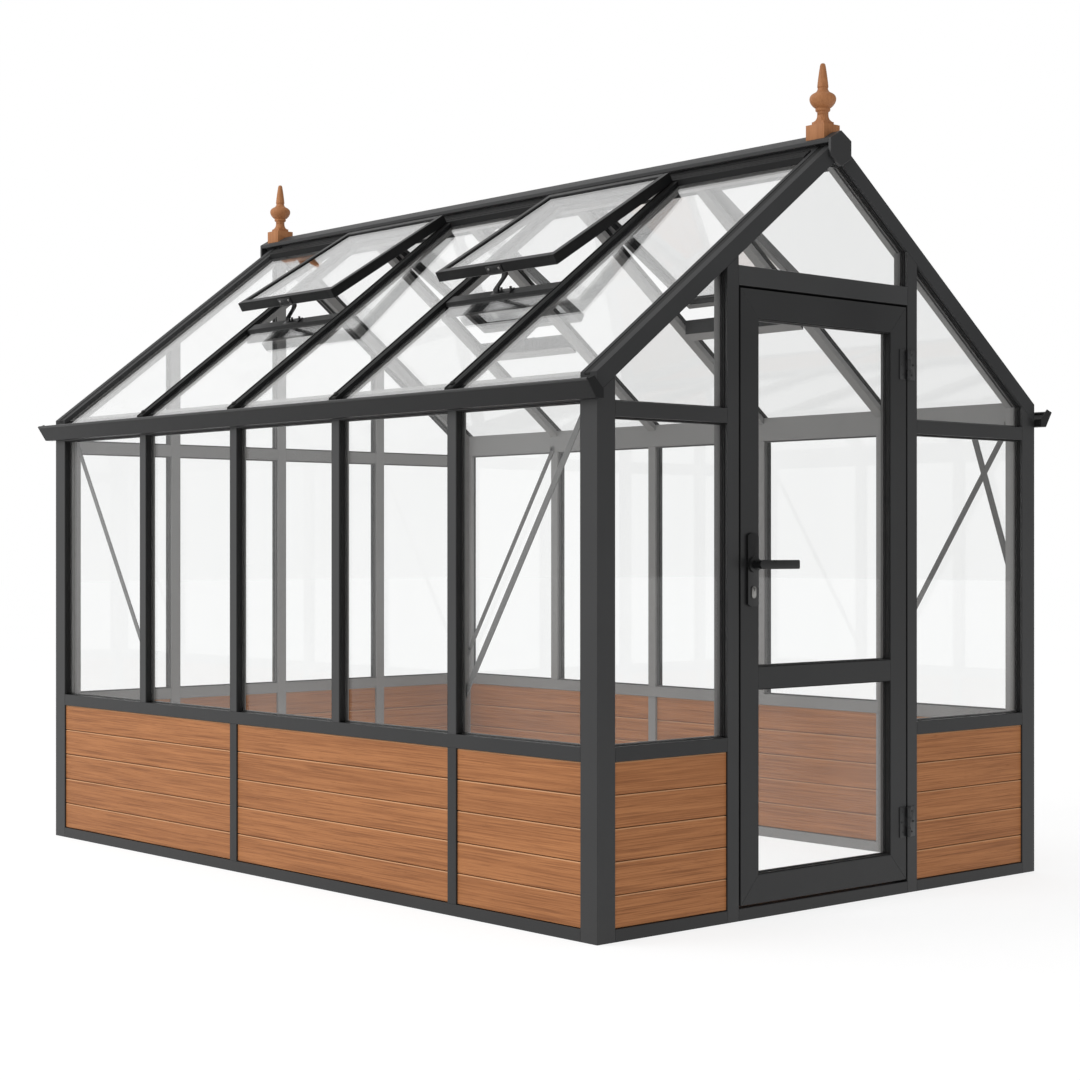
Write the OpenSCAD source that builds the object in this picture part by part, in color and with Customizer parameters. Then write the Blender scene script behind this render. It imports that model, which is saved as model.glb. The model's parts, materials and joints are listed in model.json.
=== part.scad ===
// A glazed garden house with a boarded base wall, a door in one gable and a pitched roof.
// X runs across the gables, Y along the ridge with the door gable at -Y, Z up from the ground.

/* [Overall] */
// Width over the outside of the long walls
wall_w = 2120; // [1900:10:2500]
// Distance between mullion centres along the long walls
bay_w = 610; // [520:5:720]
// Distance from a gable's outside face to the nearest mullion centre
end_bay_w = 660; // [560:5:780]
// Number of bays between the two end bays
mid_bays = 3; // [3:1:5]
// Drop from the top of the door leaf to the roof's outer surface at the wall face
spring_drop = 289; // [200:1:380]
// Rise of the roof's outer surface from the wall face to the apex
roof_rise = 805; // [700:5:950]

/* [Base wall] */
// Height of the rails that stand on the ground
bottom_rail_h = 38; // [25:1:60]
// Height of the boarding between the bottom rail and the sill
boarding_h = 484; // [300:2:700]
// Height of the sill rails
sill_h = 43; // [30:1:60]
// Thickness of the boarding
boarding_t = 26; // [16:1:32]
// Setback of the boarding behind the frame's outside face
boarding_setback = 6; // [2:1:10]

/* [Frame sections] */
// Width of the square corner posts
corner_post_w = 72; // [60:1:90]
// Face width of mullions and glazing bars
mullion_w = 42; // [32:1:56]
// Depth of mullions, rails and the door leaf behind the outside face
frame_d = 42; // [38:1:56]
// Height of the gable rails at eaves level
mid_rail_h = 45; // [30:1:60]
// Height of the eaves beams on their outside face
eave_beam_h = 60; // [45:1:80]
// Number of lights across the rear gable
rear_lights = 4; // [2:2:6]

/* [Glazing] */
// Thickness of the glass
glass_t = 4; // [3:0.5:6]
// Setback of the wall glass behind the outside face
glass_setback = 23; // [12:1:28]
// Distance by which the roof glass reaches out over the gutter
glass_drip = 12; // [5:1:20]

/* [Roof] */
// Depth of the gable rafters, square to the slope
rafter_d = 52; // [40:1:70]
// Depth of the glazing bars under the roof glass
bar_d = 20; // [12:1:45]
// Thickness of the glazing caps over the roof glass
bar_cap_t = 14; // [8:1:20]
// Width of the ridge beam
ridge_beam_w = 50; // [40:1:70]
// Width of the ridge capping
ridge_cap_w = 100; // [90:1:130]
// Distance by which the ridge runs past the door gable
ridge_overhang = 12; // [12:1:70]
// Distance by which the ridge runs past the rear gable
ridge_rear_overhang = 51; // [12:1:70]
// Distance by which the gutters run past each gable
gutter_overhang = 28; // [15:1:40]

/* [Roof vents] */
// Length of a vent down the slope
vent_l = 625; // [450:5:720]
// Angle by which the vents are propped open
vent_open_angle = 5.5; // [4:0.5:20]

/* [Door] */
// Width of the door leaf
door_w = 800; // [700:5:860]
// Height of the door leaf
door_h = 1893; // [1750:1:1950]
// Shift of the door's centre from the middle of the gable
door_shift = -58; // [-80:1:80]
// Running gap around the leaf
door_gap = 8; // [6:0.5:12]
// Width of the door stiles
stile_w = 80; // [60:1:95]
// Height of the door's top and bottom rails
door_rail_h = 88; // [60:1:110]
// Height of the door's middle rail
door_mid_rail_h = 67; // [50:1:100]
// Height of the middle rail's centre above the ground
door_mid_rail_z = 741; // [600:1:900]
// Height of the lever's axis above the ground
lever_z = 1091; // [950:1:1150]

/* [Hidden] */
$fn = 48;

// Colours of the finishes
anthracite = "#37393b";
timber = "#a6704d";
clear_glass = [0.86, 0.90, 0.92, 0.35];
black_steel = "#1c1c1d";
bright_steel = "#b9bbbd";
rubber_black = "#141414";

// Overrun of every cut past the face that it breaks
overrun = 1;
// Running gap at a pin, gap at a seat between pieces that turn on each other, gap of a bedded joint
pin_gap = 0.1;
seat_gap = 0.3;
bed_gap = 0.1;

// Plan of the house
half_w = wall_w / 2;
house_l = 2 * end_bay_w + mid_bays * bay_w;
front_y = -house_l / 2;
rear_y = house_l / 2;
post_in_x = half_w - corner_post_w;
post_in_y = rear_y - corner_post_w;
mullion_ys = [for (k = [0 : mid_bays]) front_y + end_bay_w + k * bay_w];
base_post_ys = [mullion_ys[0], mullion_ys[2]];
rear_post_xs = [for (k = [1 : rear_lights - 1]) -half_w + k * wall_w / rear_lights];

// Clear spans between uprights, each as a low and a high end
function spans(low, high, centres, w) = [for (k = [0 : len(centres)]) [
    k == 0 ? low : centres[k - 1] + w / 2,
    k == len(centres) ? high : centres[k] - w / 2]];
light_spans = spans(-post_in_y, post_in_y, mullion_ys, mullion_w);
base_spans = spans(-post_in_y, post_in_y, base_post_ys, mullion_w);
rear_spans = spans(-post_in_x, post_in_x, rear_post_xs, mullion_w);

// Heights of the walls
board_top_z = bottom_rail_h + boarding_h;
sill_top_z = board_top_z + sill_h;
door_low_z = bottom_rail_h + door_gap;
door_top_z = door_low_z + door_h;
spring_z = door_top_z - spring_drop;

// Roof surface: height at a place across the house, at an offset square to the slope
pitch = atan2(roof_rise, half_w);
slope_ratio = roof_rise / half_w;
function roof_z(x, offset) = spring_z + (half_w - abs(x)) * slope_ratio + offset / cos(pitch);
glass_top_n = -bar_cap_t;
glass_low_n = glass_top_n - glass_t;
glass_bed_n = glass_low_n - bed_gap;
cap_bed_n = glass_top_n + bed_gap;
bar_low_n = glass_low_n - bar_d;
rafter_bed_n = -rafter_d - bed_gap;
eave_under_z = roof_z(half_w, glass_low_n) - eave_beam_h;
mid_rail_low_z = eave_under_z - mid_rail_h;

// Groove along the top of each rafter for a rubber seal
seal_set = 31;
seal_w = 24;
seal_groove_d = 8;
seal_drop = 1.5;

// Ridge
ridge_half = ridge_beam_w / 2;
ridge_under_z = roof_z(ridge_half, -rafter_d);
ridge_top_z = roof_z(ridge_half, 0);
ridge_cap_side_h = 13;
ridge_cap_rise = 29;
ridge_peak_z = ridge_top_z + ridge_cap_side_h + ridge_cap_rise;
ridge_end_cap_r = 58;
ridge_end_cap_t = 12;
ridge_end_cap_z = ridge_peak_z - ridge_end_cap_r + overrun;
ridge_front_y = front_y - ridge_overhang + ridge_end_cap_t;
ridge_rear_y = rear_y + ridge_rear_overhang - ridge_end_cap_t;
ridge_rail_w = 35;
ridge_rail_t = 18;
ridge_rail_out_x = ridge_cap_w / 2 + ridge_rail_w;

// Gutter section, measured out from the wall face
gutter_wall_t = 3;
gutter_floor_w = 30;
gutter_lip_out = 65;
gutter_lip_h = 53;
gutter_back_h = 27;
gutter_floor_z = eave_under_z + gutter_wall_t;
gutter_cap_t = 3;
gutter_cap_peak_out = 37;
gutter_cap_peak_h = 63;
gutter_run_y = rear_y + gutter_overhang - gutter_cap_t;

// Door
door_left = door_shift - door_w / 2;
door_right = door_shift + door_w / 2;
door_post_w = 50;
door_head_h = 60;
door_head_low_z = door_top_z + door_gap;
door_head_top_z = door_head_low_z + door_head_h;
post_left_in = door_left - door_gap;
post_left_out = post_left_in - door_post_w;
post_right_in = door_right + door_gap;
post_right_out = post_right_in + door_post_w;
front_spans = [[-post_in_x, post_left_out], [post_right_out, post_in_x]];
leaf_back_y = front_y + frame_d;
door_stop_gap = 6;
door_stop_w = 20;
door_stop_t = 10;
door_stop_y = leaf_back_y + door_stop_gap;
door_stop_z = door_head_low_z - door_stop_w;

// Door hinges
knuckle_r = 8;
knuckle_gap = 0.5;
hinge_pin_r = 3;
hinge_h = 100;
hinge_leaf_w = 30;
hinge_leaf_t = 3;
hinge_edge_inset = 190;
hinge_x = door_right + door_gap / 2;
hinge_y = front_y - knuckle_r;
hinge_zs = [door_low_z + hinge_edge_inset, door_top_z - hinge_edge_inset];
hinge_leaf_start = knuckle_r + 1.5;

// Door furniture
lever_inset = 49;
lever_x = door_left + lever_inset;
plate_w = 48;
plate_h = 227;
plate_t = 8;
plate_drop = 16;
plate_arch_h = 8;
plate_arch_r = (pow(plate_w / 2, 2) + pow(plate_arch_h, 2)) / (2 * plate_arch_h);
rose_r = 24.5;
rose_t = 8;
cylinder_drop = 85;
cylinder_r = 10;
cylinder_h = 38;
cylinder_proud = 3;
plug_r = 7;
plug_rise = 8;
plug_proud = 1.5;
spindle_r = 6;
lever_neck_r = 12;
lever_neck_l = 22.7;
lever_grip_l = 166;
lever_grip_h = 28;
lever_grip_t = 12;
lever_tip_r = 5;

// Roof vents
vent_bays = [1, mid_bays];
vent_bar_w = 26;
vent_bar_t = 36;
vent_glass_set = 5;
vent_cill_w = 32;
vent_cill_d = 42;
vent_cill_drop = 4;
vent_cill_lap = 10;
vent_hinge_x = -ridge_rail_out_x;
vent_angle = pitch - vent_open_angle;
vent_cill_high_x = vent_hinge_x - (vent_l - vent_cill_lap) * cos(pitch);
vent_cill_low_x = vent_cill_high_x - vent_cill_w;
vent_cill_x = (vent_cill_low_x + vent_cill_high_x) / 2;
stay_w = 14;
stay_t = 8;

// Wall braces
brace_w = 25;
brace_t = 4;
brace_foot_rise = 80;
brace_drop = eave_under_z - sill_top_z - brace_foot_rise;
knee_run = 176;
knee_drop = 542;

// Finial, from its block up
finial_block_w = 77;
finial_block_h = 49;
finial_plinth_w = 50;
finial_plinth_h = 11;
finial_cove_h = 23;
finial_neck_r = 18.2;
finial_neck_h = 10;
finial_ring_r = 24.2;
finial_ring_h = 11;
finial_bulb_r = 43;
finial_bulb_h = 56;
finial_waist_r = 16.6;
finial_waist_h = 12;
finial_spire_r = 17.6;
finial_tip_r = 8.5;
finial_spire_h = 70;
finial_inset = 78;
finial_ys = [front_y - ridge_overhang + finial_inset, rear_y + ridge_rear_overhang - finial_inset];
finial_neck_z = finial_block_h + finial_plinth_h + finial_cove_h;
finial_seat_z = ridge_peak_z - finial_block_w / ridge_cap_w * ridge_cap_rise;

// Helpers for prisms, boxes and mirrored pairs
module along_y(low, high) {
    translate([0, high, 0]) rotate([90, 0, 0]) linear_extrude(height = high - low) children();
}
module along_x(low, high) {
    translate([low, 0, 0]) rotate([90, 0, 90]) linear_extrude(height = high - low) children();
}
module box(x, y, z) {
    translate([x[0], y[0], z[0]]) cube([x[1] - x[0], y[1] - y[0], z[1] - z[0]]);
}
module both_sides() {
    children();
    mirror([1, 0, 0]) children();
}
module both_ends() {
    children();
    mirror([0, 1, 0]) children();
}

// Section of a member that lies in the left slope between two plumb cuts
module slope_section(low_x, high_x, low_n, high_n) {
    polygon([[low_x, roof_z(low_x, low_n)], [high_x, roof_z(high_x, low_n)],
        [high_x, roof_z(high_x, high_n)], [low_x, roof_z(low_x, high_n)]]);
}
// Upright that ends under a rafter, drawn in the gable's plane
module raked_post(low_x, high_x) {
    polygon([[low_x, 0], [high_x, 0],
        [high_x, roof_z(high_x, rafter_bed_n)], [low_x, roof_z(low_x, rafter_bed_n)]]);
}

// Base wall
module corner_posts() color(anthracite) both_sides() both_ends()
    along_y(front_y, -post_in_y) raked_post(-half_w, -post_in_x);
module wall_ring(z) {
    both_sides() box([-half_w, -half_w + frame_d], [-post_in_y, post_in_y], z);
    for (s = rear_spans) box(s, [rear_y - frame_d, rear_y], z);
    for (s = front_spans) box(s, [front_y, front_y + frame_d], z);
}
module bottom_rails() color(anthracite) wall_ring([0, bottom_rail_h]);
module threshold() color(anthracite)
    box([post_left_in, post_right_in], [front_y, leaf_back_y], [0, bottom_rail_h]);
module sill_rails() color(anthracite) wall_ring([board_top_z, sill_top_z]);
module side_uprights(centres, z) {
    both_sides() for (y = centres)
        box([-half_w, -half_w + frame_d], [y - mullion_w / 2, y + mullion_w / 2], z);
}
module base_posts() color(anthracite) side_uprights(base_post_ys, [bottom_rail_h, board_top_z]);
board_z = [bottom_rail_h, board_top_z];
module side_wall_boards() color(timber) both_sides() for (s = base_spans)
    box([-half_w + boarding_setback, -half_w + boarding_setback + boarding_t], s, board_z);
module front_wall_boards() color(timber) for (s = front_spans)
    box(s, [front_y + boarding_setback, front_y + boarding_setback + boarding_t], board_z);
module rear_wall_boards() color(timber) for (s = rear_spans)
    box(s, [rear_y - boarding_setback - boarding_t, rear_y - boarding_setback], board_z);

// Long walls
module mullions() color(anthracite) side_uprights(mullion_ys, [sill_top_z, eave_under_z]);
module side_glass() {
    for (s = light_spans)
        box([-half_w + glass_setback, -half_w + glass_setback + glass_t], s, [sill_top_z, eave_under_z]);
}
module left_wall_glass() color(clear_glass) side_glass();
module right_wall_glass() color(clear_glass) mirror([1, 0, 0]) side_glass();
module eave_beams() color(anthracite) both_sides() along_y(-post_in_y, post_in_y)
    polygon([[-half_w, eave_under_z], [-half_w + frame_d, eave_under_z],
        [-half_w + frame_d, roof_z(half_w - frame_d, glass_bed_n)], [-half_w, roof_z(half_w, glass_bed_n)]]);
// A flat bar inside the wall: its head laps the eaves beam, its foot is cut plumb
module brace(head_y, foot_y, drop) {
    tab_y = head_y + sign(foot_y - head_y) * brace_w;
    foot_z = eave_under_z - drop;
    lean = drop / abs(foot_y - head_y);
    polygon([[head_y, eave_under_z + brace_w], [head_y, eave_under_z], [foot_y, foot_z],
        [foot_y, foot_z + brace_w * lean], [tab_y, eave_under_z], [tab_y, eave_under_z + brace_w]]);
}
module brace_plane() along_x(-half_w + frame_d, -half_w + frame_d + brace_t) children();
// The right wall's near bay has a steep bar to the corner post as well, and its far bay leans the other way
module wall_braces() color(anthracite) {
    both_ends() brace_plane() brace(-post_in_y, mullion_ys[0], brace_drop);
    mirror([1, 0, 0]) brace_plane() {
        brace(-post_in_y, mullion_ys[0], brace_drop);
        brace(-post_in_y + knee_run, -post_in_y, knee_drop);
        brace(mullion_ys[mid_bays], post_in_y, brace_drop);
    }
}

// Gutters and their end caps
module gutters() color(anthracite) both_sides() along_y(-gutter_run_y, gutter_run_y)
    translate([-half_w, gutter_floor_z]) mirror([1, 0])
        polygon([[0, 0], [gutter_floor_w, 0], [gutter_lip_out, gutter_lip_h],
            [gutter_lip_out - gutter_wall_t, gutter_lip_h],
            [gutter_floor_w - gutter_wall_t, gutter_wall_t], [gutter_wall_t, gutter_wall_t],
            [gutter_wall_t, gutter_back_h], [0, gutter_back_h]]);
module gutter_end_caps() color(anthracite) both_sides() both_ends()
    along_y(gutter_run_y, gutter_run_y + gutter_cap_t)
        translate([-half_w, gutter_floor_z]) mirror([1, 0])
            polygon([[0, 0], [gutter_floor_w, 0], [gutter_lip_out, gutter_lip_h],
                [gutter_cap_peak_out, gutter_cap_peak_h], [0, gutter_back_h]]);

// Gables
module rafters() color(anthracite) both_sides() both_ends() difference() {
    along_y(front_y, -post_in_y) slope_section(-half_w, -ridge_half, -rafter_d, 0);
    along_y(front_y + seal_set, front_y + seal_set + seal_w)
        slope_section(-half_w - overrun, -ridge_half + overrun, -seal_groove_d, overrun);
}
module rafter_seals() color(rubber_black) both_sides() both_ends()
    along_y(front_y + seal_set + bed_gap, front_y + seal_set + seal_w - bed_gap)
        slope_section(-half_w, -ridge_half - bed_gap, -seal_groove_d + bed_gap, -seal_drop);
module rear_gable_posts() color(anthracite) along_y(rear_y - frame_d, rear_y) for (x = rear_post_xs) {
    if (abs(x) < ridge_half)
        polygon([[x - mullion_w / 2, 0], [x + mullion_w / 2, 0],
            [x + mullion_w / 2, ridge_under_z], [x - mullion_w / 2, ridge_under_z]]);
    else
        raked_post(x - mullion_w / 2, x + mullion_w / 2);
}
module gable_mid_rails() color(anthracite) {
    for (s = front_spans) box(s, [front_y, front_y + frame_d], [mid_rail_low_z, eave_under_z]);
    for (s = rear_spans) box(s, [rear_y - frame_d, rear_y], [mid_rail_low_z, eave_under_z]);
}
// Light above the eaves rail, closed by the rafter and, next to the middle, the ridge beam
module gable_light(span, low_z) {
    top_z = roof_z(ridge_half, rafter_bed_n);
    middle = span[0] < -ridge_half && span[1] > ridge_half ? [[ridge_half, top_z], [-ridge_half, top_z]]
        : span[0] < ridge_half && span[0] > -ridge_half ? [[ridge_half, top_z], [span[0], top_z]]
        : span[1] < ridge_half && span[1] > -ridge_half ? [[span[1], top_z], [-ridge_half, top_z]]
        : [];
    right_top = abs(span[1]) < ridge_half ? [] : [[span[1], roof_z(span[1], rafter_bed_n)]];
    left_top = abs(span[0]) < ridge_half ? [] : [[span[0], roof_z(span[0], rafter_bed_n)]];
    polygon(concat([[span[0], low_z], [span[1], low_z]], right_top, middle, left_top));
}
module front_gable_glass() color(clear_glass)
    along_y(front_y + glass_setback, front_y + glass_setback + glass_t) {
        for (s = front_spans) {
            translate([s[0], sill_top_z]) square([s[1] - s[0], mid_rail_low_z - sill_top_z]);
            gable_light(s, eave_under_z);
        }
        gable_light([post_left_in, post_right_in], door_head_top_z);
    }
module rear_gable_glass() color(clear_glass)
    along_y(rear_y - glass_setback - glass_t, rear_y - glass_setback) for (s = rear_spans) {
        translate([s[0], sill_top_z]) square([s[1] - s[0], mid_rail_low_z - sill_top_z]);
        gable_light(s, eave_under_z);
    }

// Roof
module roof_bars() color(anthracite) both_sides() for (y = mullion_ys)
    along_y(y - mullion_w / 2, y + mullion_w / 2)
        slope_section(-half_w + frame_d, -ridge_half, bar_low_n, glass_bed_n);
module glazing_caps() color(anthracite) both_sides() for (y = mullion_ys)
    along_y(y - mullion_w / 2, y + mullion_w / 2)
        slope_section(-half_w - glass_drip, -ridge_rail_out_x, cap_bed_n, 0);
module slope_glass() {
    pane_spans = spans(-post_in_y, post_in_y, mullion_ys, mullion_w / 3);
    for (k = [0 : len(pane_spans) - 1]) {
        vented = len(search(k, vent_bays)) > 0;
        high_x = vented ? vent_cill_low_x : -ridge_half;
        along_y(pane_spans[k][0], pane_spans[k][1])
            slope_section(-half_w - glass_drip, high_x, glass_low_n, glass_top_n);
    }
}
module left_roof_glass() color(clear_glass) slope_glass();
module right_roof_glass() color(clear_glass) mirror([1, 0, 0]) slope_glass();
module ridge_beam() color(anthracite)
    box([-ridge_half, ridge_half], [ridge_front_y, ridge_rear_y], [ridge_under_z, ridge_top_z - bed_gap]);
module ridge_rails() color(black_steel) both_sides() along_y(-post_in_y, post_in_y)
    slope_section(-ridge_rail_out_x, -ridge_cap_w / 2, cap_bed_n, glass_top_n + ridge_rail_t);
module ridge_cap_section() {
    half = ridge_cap_w / 2;
    side_top_z = ridge_top_z + ridge_cap_side_h;
    polygon([[-half, ridge_top_z], [half, ridge_top_z], [half, side_top_z], [0, ridge_peak_z],
        [-half, side_top_z]]);
}
module ridge_cap() color(anthracite) along_y(ridge_front_y, ridge_rear_y) ridge_cap_section();
module ridge_end_caps() color(anthracite) for (y = [ridge_front_y - ridge_end_cap_t, ridge_rear_y])
    along_y(y, y + ridge_end_cap_t)
        translate([0, ridge_end_cap_z]) rotate(90) circle(r = ridge_end_cap_r, $fn = 6);

// Finial: a square block and plinth, a hollow moulding that goes from square to round, then a turned shaft
module finial_hollow(foot_half)
    difference() {
        translate([-foot_half, finial_block_h]) square([foot_half * 2, finial_plinth_h + finial_cove_h]);
        for (side = [-1, 1]) translate([side * foot_half, finial_neck_z])
            scale([(foot_half - finial_neck_r) / finial_cove_h, 1]) circle(r = finial_cove_h);
    }
module finial_base() {
    half = finial_block_w / 2;
    foot_half = finial_plinth_w / 2;
    corner_half = foot_half * sqrt(2);
    box([-half, half], [-half, half], [0, finial_block_h]);
    intersection() {
        along_y(-half, half) finial_hollow(foot_half);
        along_x(-half, half) finial_hollow(foot_half);
        rotate_extrude() intersection() {
            square([corner_half, finial_neck_z]);
            finial_hollow(corner_half);
        }
    }
}
module finial_turning() {
    ring_z = finial_neck_z + finial_neck_h;
    bulb_z = ring_z + finial_ring_h;
    spire_z = bulb_z + finial_bulb_h + finial_waist_h;
    intersection() {
        translate([0, finial_neck_z]) square([finial_bulb_r, spire_z + finial_spire_h + finial_tip_r]);
        union() {
            square([finial_neck_r, bulb_z]);
            translate([0, ring_z]) square([finial_ring_r - finial_ring_h / 2, finial_ring_h]);
            translate([finial_ring_r - finial_ring_h / 2, ring_z + finial_ring_h / 2])
                circle(r = finial_ring_h / 2);
            translate([0, bulb_z + finial_bulb_h / 2]) scale([finial_bulb_r * 2 / finial_bulb_h, 1])
                circle(r = finial_bulb_h / 2);
            translate([0, bulb_z]) square([finial_waist_r, finial_bulb_h + finial_waist_h]);
            polygon([[0, spire_z], [finial_spire_r, spire_z],
                [finial_tip_r, spire_z + finial_spire_h], [0, spire_z + finial_spire_h]]);
            translate([0, spire_z + finial_spire_h]) circle(r = finial_tip_r);
        }
    }
}
module finials() color(timber) difference() {
    for (y = finial_ys) translate([0, y, finial_seat_z]) {
        finial_base();
        rotate_extrude() finial_turning();
    }
    along_y(ridge_front_y, ridge_rear_y) ridge_cap_section();
}

// Roof vents, hung from the ridge rails and propped open
module vent_frame_place() {
    both_sides() translate([vent_hinge_x, 0, roof_z(vent_hinge_x, 0)])
        rotate([0, -vent_angle, 0]) children();
}
module vent_stiles() color(black_steel) vent_frame_place() for (k = vent_bays) {
    box([-vent_l, 0], [mullion_ys[k - 1], mullion_ys[k - 1] + vent_bar_w], [0, vent_bar_t]);
    box([-vent_l, 0], [mullion_ys[k] - vent_bar_w, mullion_ys[k]], [0, vent_bar_t]);
}
module vent_rail_pair(k) {
    y = [mullion_ys[k - 1] + vent_bar_w, mullion_ys[k] - vent_bar_w];
    box([-vent_l, -vent_l + vent_bar_w], y, [0, vent_bar_t]);
    box([-vent_bar_w, 0], y, [0, vent_bar_t]);
}
module vent_rails() color(black_steel) vent_frame_place() for (k = vent_bays) vent_rail_pair(k);
module vent_glass() color(clear_glass) vent_frame_place() for (k = vent_bays)
    box([-vent_l + vent_bar_w, -vent_bar_w],
        [mullion_ys[k - 1] + vent_bar_w, mullion_ys[k] - vent_bar_w],
        [vent_bar_t - vent_glass_set - glass_t, vent_bar_t - vent_glass_set]);
module vent_cill(k) {
    along_y(mullion_ys[k - 1] + mullion_w / 2, mullion_ys[k] - mullion_w / 2)
        slope_section(vent_cill_low_x, vent_cill_high_x, -vent_cill_drop - vent_cill_d, -vent_cill_drop);
}
module vent_cills() color(anthracite) both_sides() for (k = vent_bays) vent_cill(k);
// Stay that props the vent's bottom rail off the cill
module vent_stays() color(black_steel) for (k = vent_bays) difference() {
    both_sides() {
        reach = vent_l - vent_bar_w / 2;
        foot = [vent_cill_x, roof_z(vent_cill_x, -vent_cill_drop)];
        head = [vent_hinge_x - reach * cos(vent_angle), roof_z(vent_hinge_x, 0) - reach * sin(vent_angle)];
        middle_y = (mullion_ys[k - 1] + mullion_ys[k]) / 2;
        lean = atan2(head[1] - foot[1], head[0] - foot[0]);
        along_y(middle_y - stay_w / 2, middle_y + stay_w / 2)
            translate(foot) rotate(lean) translate([-stay_t, -stay_t / 2])
                square([norm(head - foot) + 2 * stay_t, stay_t]);
    }
    vent_frame_place() vent_rail_pair(k);
    both_sides() vent_cill(k);
}

// Door frame: each post and the head carry a stop behind the leaf
module door_posts() color(anthracite) {
    along_y(front_y, door_stop_y + door_stop_t) {
        raked_post(post_left_out, post_left_in);
        raked_post(post_right_in, post_right_out);
    }
    for (x = [post_left_in - overrun, post_right_in - door_stop_w])
        box([x, x + door_stop_w + overrun], [door_stop_y, door_stop_y + door_stop_t],
            [bottom_rail_h, door_stop_z]);
}
module door_head() color(anthracite) along_x(post_left_in, post_right_in)
    polygon([[front_y, door_head_low_z], [door_stop_y, door_head_low_z], [door_stop_y, door_stop_z],
        [door_stop_y + door_stop_t, door_stop_z], [door_stop_y + door_stop_t, door_head_top_z],
        [front_y, door_head_top_z]]);

// Door leaf
module lever_bore() {
    reach = plate_t + rose_t + overrun;
    translate([lever_x, front_y, lever_z]) rotate([-90, 0, 0]) translate([0, 0, -reach])
        cylinder(r = spindle_r + pin_gap, h = frame_d + 2 * reach);
}
door_rail_spans = [[door_low_z, door_low_z + door_rail_h],
    [door_mid_rail_z - door_mid_rail_h / 2, door_mid_rail_z + door_mid_rail_h / 2],
    [door_top_z - door_rail_h, door_top_z]];
// Bar of the leaf's frame with mitred ends, given by the ends of its outer and inner edges
module mitred_bar(outer, inner) {
    polygon([outer[0], outer[1], inner[1], inner[0]]);
}
module door_stiles() color(anthracite) difference() {
    inner_z = [door_low_z + door_rail_h, door_top_z - door_rail_h];
    along_y(front_y, leaf_back_y) {
        mitred_bar([[door_left, door_low_z], [door_left, door_top_z]],
            [[door_left + stile_w, inner_z[0]], [door_left + stile_w, inner_z[1]]]);
        mitred_bar([[door_right, door_low_z], [door_right, door_top_z]],
            [[door_right - stile_w, inner_z[0]], [door_right - stile_w, inner_z[1]]]);
    }
    lever_bore();
}
module door_rails() color(anthracite) {
    x = [door_left + stile_w, door_right - stile_w];
    along_y(front_y, leaf_back_y) {
        mitred_bar([[door_left, door_low_z], [door_right, door_low_z]],
            [[x[0], door_rail_spans[0][1]], [x[1], door_rail_spans[0][1]]]);
        mitred_bar([[door_left, door_top_z], [door_right, door_top_z]],
            [[x[0], door_rail_spans[2][0]], [x[1], door_rail_spans[2][0]]]);
    }
    box(x, [front_y, leaf_back_y], door_rail_spans[1]);
}
module door_glass() color(clear_glass) for (k = [0, 1])
    box([door_left + stile_w, door_right - stile_w],
        [front_y + glass_setback, front_y + glass_setback + glass_t],
        [door_rail_spans[k][1], door_rail_spans[k + 1][0]]);

// Hinges: the frame's half carries the pin and the outer knuckles, the door's half the middle one
knuckle_h = hinge_h / 3;
module knuckle(z, tab_end) {
    h = knuckle_h - knuckle_gap;
    translate([hinge_x, hinge_y, z]) {
        cylinder(r = knuckle_r, h = h);
        box([min(0, tab_end), max(0, tab_end)], [knuckle_r - hinge_leaf_t, knuckle_r], [0, h]);
    }
}
module hinge_plate(low_x, z) {
    translate([low_x, front_y - hinge_leaf_t, z - hinge_h / 2])
        cube([hinge_leaf_w, hinge_leaf_t, hinge_h - knuckle_gap]);
}
module frame_hinges() color(black_steel) for (z = hinge_zs) {
    knuckle(z - hinge_h / 2, hinge_leaf_start);
    knuckle(z + knuckle_h / 2, hinge_leaf_start);
    hinge_plate(hinge_x + hinge_leaf_start, z);
    translate([hinge_x, hinge_y, z - hinge_h / 2]) cylinder(r = hinge_pin_r, h = hinge_h - knuckle_gap);
}
module door_hinges() color(black_steel) for (z = hinge_zs) {
    difference() {
        knuckle(z - knuckle_h / 2, -hinge_leaf_start);
        translate([hinge_x, hinge_y, z - knuckle_h / 2 - overrun])
            cylinder(r = hinge_pin_r + pin_gap, h = knuckle_h + 2 * overrun);
    }
    hinge_plate(hinge_x - hinge_leaf_start - hinge_leaf_w, z);
}

// Door furniture
module both_faces() {
    children();
    translate([0, 2 * front_y + frame_d, 0]) mirror([0, 1, 0]) children();
}
module upright_slot(r, h) {
    translate([0, r - h / 2]) circle(r = r);
    translate([-r, r - h / 2]) square([2 * r, h - 2 * r]);
    translate([0, h / 2 - r]) circle(r = r);
}
// Plate with shallow arched ends
module plate_section() {
    square([plate_w, plate_h - 2 * plate_arch_h], center = true);
    for (side = [0, 1]) mirror([0, side]) intersection() {
        translate([0, plate_h / 2 - plate_arch_r]) circle(r = plate_arch_r);
        translate([-plate_w / 2, 0]) square([plate_w, plate_h / 2]);
    }
}
module handle_plates() color(black_steel) difference() {
    both_faces() {
        along_y(front_y - plate_t, front_y) translate([lever_x, lever_z - plate_drop]) plate_section();
        along_y(front_y - plate_t - rose_t, front_y - plate_t)
            translate([lever_x, lever_z]) circle(r = rose_r);
    }
    lever_bore();
}
module lock_cylinders() color(bright_steel) both_faces() translate([lever_x, 0, lever_z - cylinder_drop]) {
    face_y = front_y - plate_t - cylinder_proud;
    along_y(face_y, front_y - plate_t) upright_slot(cylinder_r, cylinder_h);
    along_y(face_y - plug_proud, face_y) translate([0, plug_rise]) circle(r = plug_r);
}
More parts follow.
